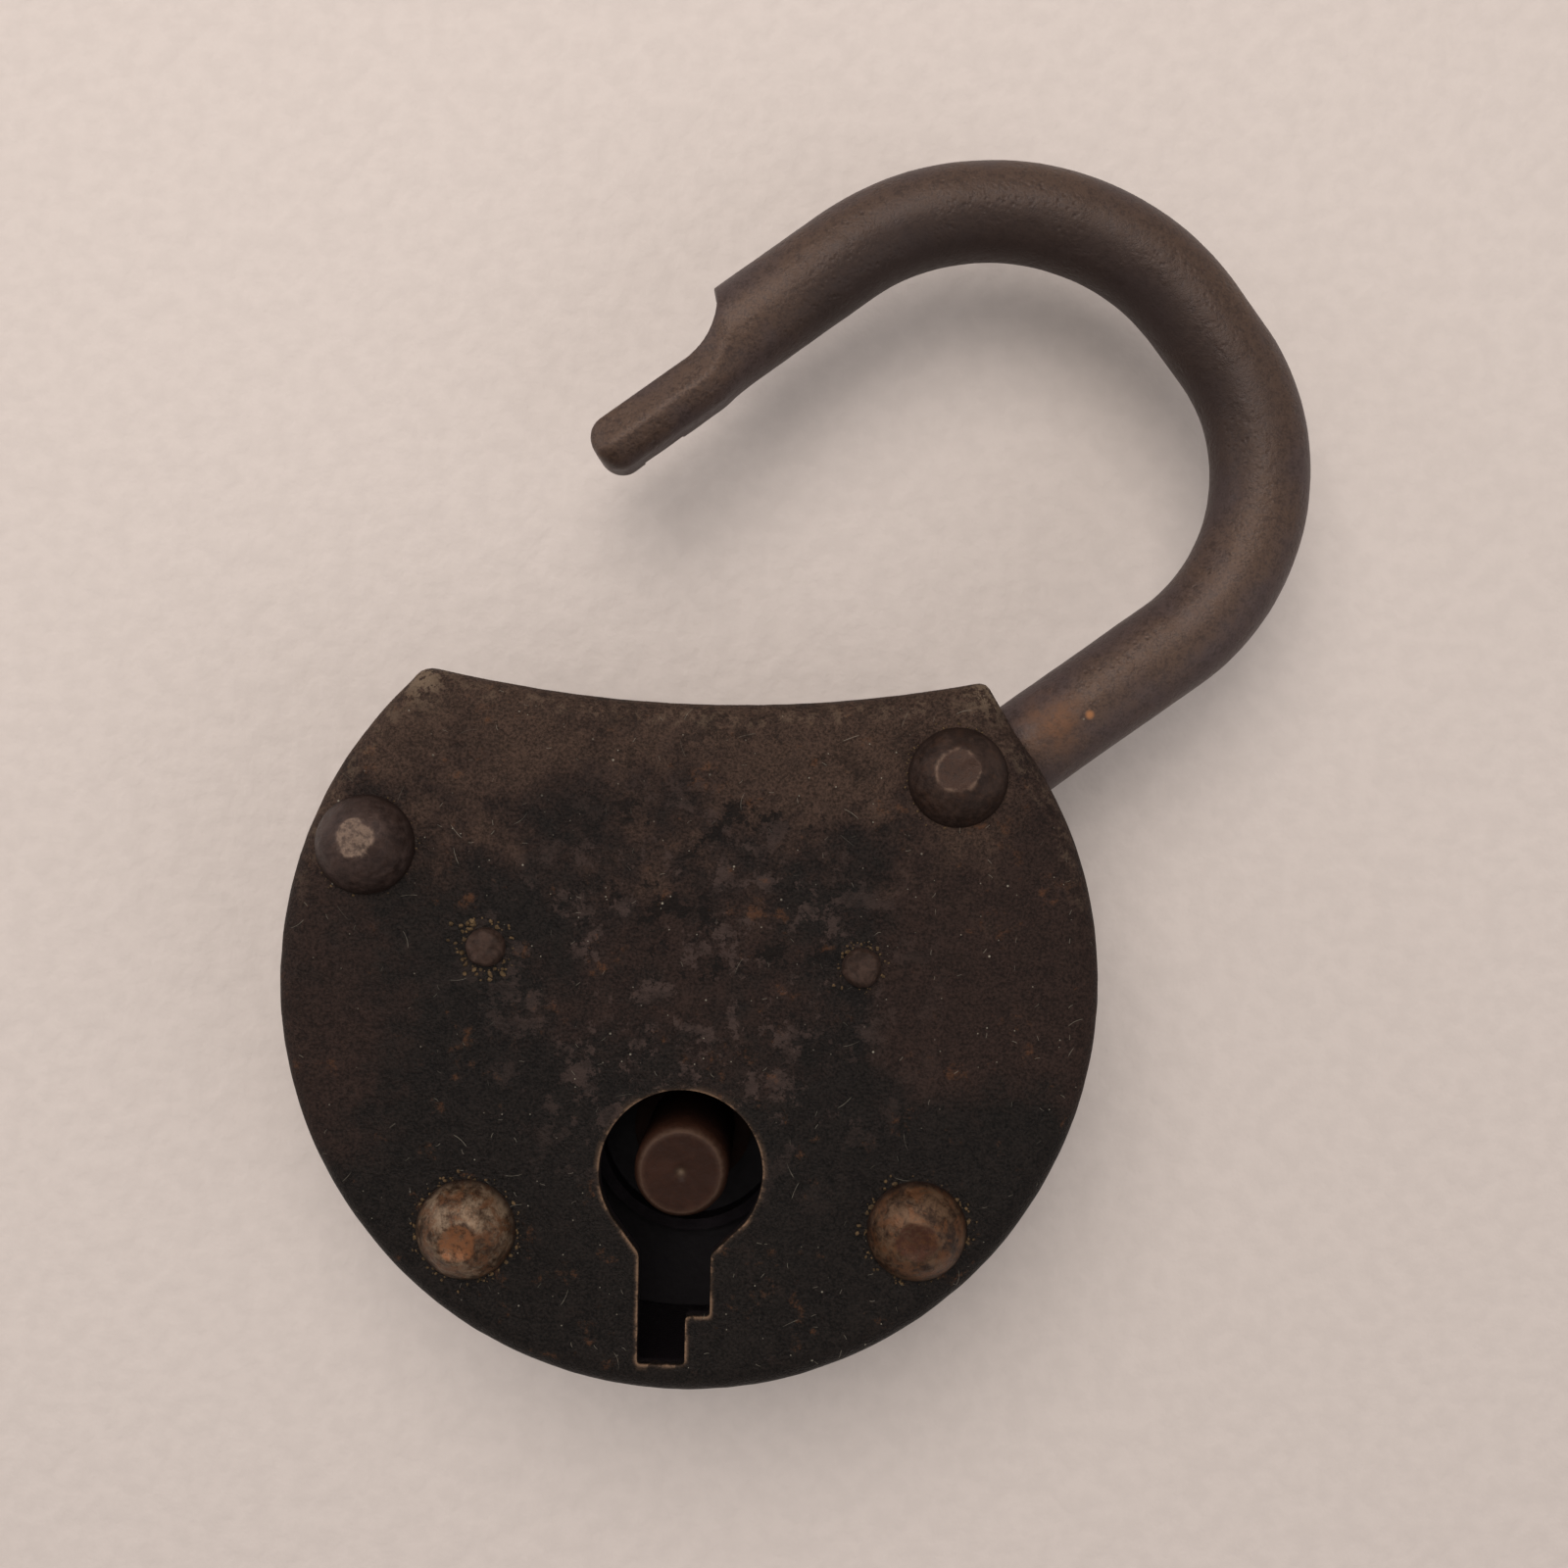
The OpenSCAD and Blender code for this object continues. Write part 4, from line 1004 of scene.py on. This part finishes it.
class PadlockSizes(PropertyGroup):
    """Sizes of the detail that the looks add to the frame."""

    dent_depth: length("Dents", "Depth of the dents in the case", 0.000035)
    bar_relief: length("Bar relief", "Unevenness of the shackle's bar", 0.00004)
    rivet_relief: length("Rivet relief", "Unevenness of the rivet heads", 0.00005)
    case_columns: IntProperty(name="Columns", description="Points round the case", default=430,
                              min=60)
    face_rows: IntProperty(name="Face rows", description="Rows across the face", default=38, min=8)


class PadlockView(PropertyGroup):
    """Camera and light."""

    camera_x: length("Camera X", "Camera's place along X", 0.00913)
    camera_y: length("Camera Y", "Camera's place along Y", 0.01978)
    camera_height: length("Camera height", "Camera's height over the face", 0.152)
    half_width: length("Half width", "Half the width seen at the face", 0.0773)
    key_power: strength("Key", "Key lamp's power in watts", 1.95)
    side_power: strength("Side", "Side lamp's power in watts", 1.0)
    left_power: strength("Left", "Low left lamp's power in watts", 0.8)
    room_light: strength("Room", "Strength of the room's light", 0.44)


# --- operators


class PADLOCK_OT_case(Operator):
    """Build the worn case shell"""

    bl_idname = "padlock.case"
    bl_label = "Case"

    def execute(self, context):
        scene = context.scene
        build_case(scene.padlock_sizes, case_paint(scene.padlock_tones))
        return {"FINISHED"}


class PADLOCK_OT_shackle(Operator):
    """Build the shackle's bar and its eye"""

    bl_idname = "padlock.shackle"
    bl_label = "Shackle"

    def execute(self, context):
        steel = forged_steel(context.scene.padlock_tones)
        build_bow(context.scene.padlock_sizes, steel)
        build_eye(steel)
        return {"FINISHED"}


class PADLOCK_OT_rivets(Operator):
    """Build the four rivets"""

    bl_idname = "padlock.rivets"
    bl_label = "Rivets"

    def execute(self, context):
        tones, sizes = context.scene.padlock_tones, context.scene.padlock_sizes
        for look in RIVETS:
            build_rivet(look, rivet_iron(look, tones), sizes)
        return {"FINISHED"}


class PADLOCK_OT_pins(Operator):
    """Build the guide pins' riveted ends and the rust crumbs"""

    bl_idname = "padlock.pins"
    bl_label = "Pins and crumbs"

    def execute(self, context):
        tones = context.scene.padlock_tones
        iron = old_iron("pin_iron", tones.pin, 1, 2.2, 1.2, 0.2, (("skirt", 0.6, tones.film),))
        build_pin("guide_pin_left_end", "guide_pin_left", iron, 41)
        build_pin("guide_pin_right_end", "guide_pin_right", iron, 43)
        build_crumbs(old_iron("crumb_rust", tones.crumb, 0.35, 1, 0.6, 0.0))
        return {"FINISHED"}


class PADLOCK_OT_post(Operator):
    """Build the key post"""

    bl_idname = "padlock.post"
    bl_label = "Key post"

    def execute(self, context):
        tones = context.scene.padlock_tones
        iron = old_iron("post_iron", tones.post, 1, 1.4, 2.2, 0.0,
                        (("chamfer", 0.85, tones.chamfer), ("dimple", 0.6, tones.worn)))
        build_post(iron)
        return {"FINISHED"}


class PADLOCK_OT_frame_finish(Operator):
    """Give the frame's own nodes their finishes"""

    bl_idname = "padlock.frame_finish"
    bl_label = "Frame finishes"

    def execute(self, context):
        tones = context.scene.padlock_tones
        plate = plate_paint(tones)
        dark = old_iron("inner_iron", tones.dark, 1, 1.6)
        dull = old_iron("bolt_iron", tones.dark, 1, 2.5)
        for name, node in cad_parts.items():
            if node.hide_render:
                continue
            skin = {"back_plate": plate, "bolt": dull}.get(name, dark)
            for place in node.material_slots:
                place.material = skin
        return {"FINISHED"}


class PADLOCK_OT_stage(Operator):
    """Build the floor, the lamps and the camera"""

    bl_idname = "padlock.stage"
    bl_label = "Stage"

    def execute(self, context):
        build_stage(context.scene.padlock_tones, context.scene.padlock_view)
        return {"FINISHED"}


class PADLOCK_PT_panel(Panel):
    """Lists the padlock's pieces and settings"""

    bl_idname = "PADLOCK_PT_panel"
    bl_label = "Old Padlock"
    bl_space_type = "VIEW_3D"
    bl_region_type = "UI"
    bl_category = "Padlock"

    def draw(self, context):
        for step in STEPS:
            self.layout.operator(step.bl_idname)
        scene = context.scene
        for group in (scene.padlock_tones, scene.padlock_sizes, scene.padlock_view):
            box = self.layout.box()
            for name in group.__annotations__:
                box.prop(group, name)


STEPS = (PADLOCK_OT_case, PADLOCK_OT_shackle, PADLOCK_OT_rivets, PADLOCK_OT_pins, PADLOCK_OT_post,
         PADLOCK_OT_frame_finish, PADLOCK_OT_stage)
CLASSES = (PadlockTones, PadlockSizes, PadlockView, *STEPS, PADLOCK_PT_panel)


def register():
    for cls in CLASSES:
        bpy.utils.register_class(cls)
    bpy.types.Scene.padlock_tones = PointerProperty(type=PadlockTones)
    bpy.types.Scene.padlock_sizes = PointerProperty(type=PadlockSizes)
    bpy.types.Scene.padlock_view = PointerProperty(type=PadlockView)


def unregister():
    del bpy.types.Scene.padlock_tones
    del bpy.types.Scene.padlock_sizes
    del bpy.types.Scene.padlock_view
    for cls in reversed(CLASSES):
        bpy.utils.unregister_class(cls)


def main():
    register()
    for step in STEPS:
        group, name = step.bl_idname.split(".")
        getattr(getattr(bpy.ops, group), name)()


if __name__ == "__main__":
    main()
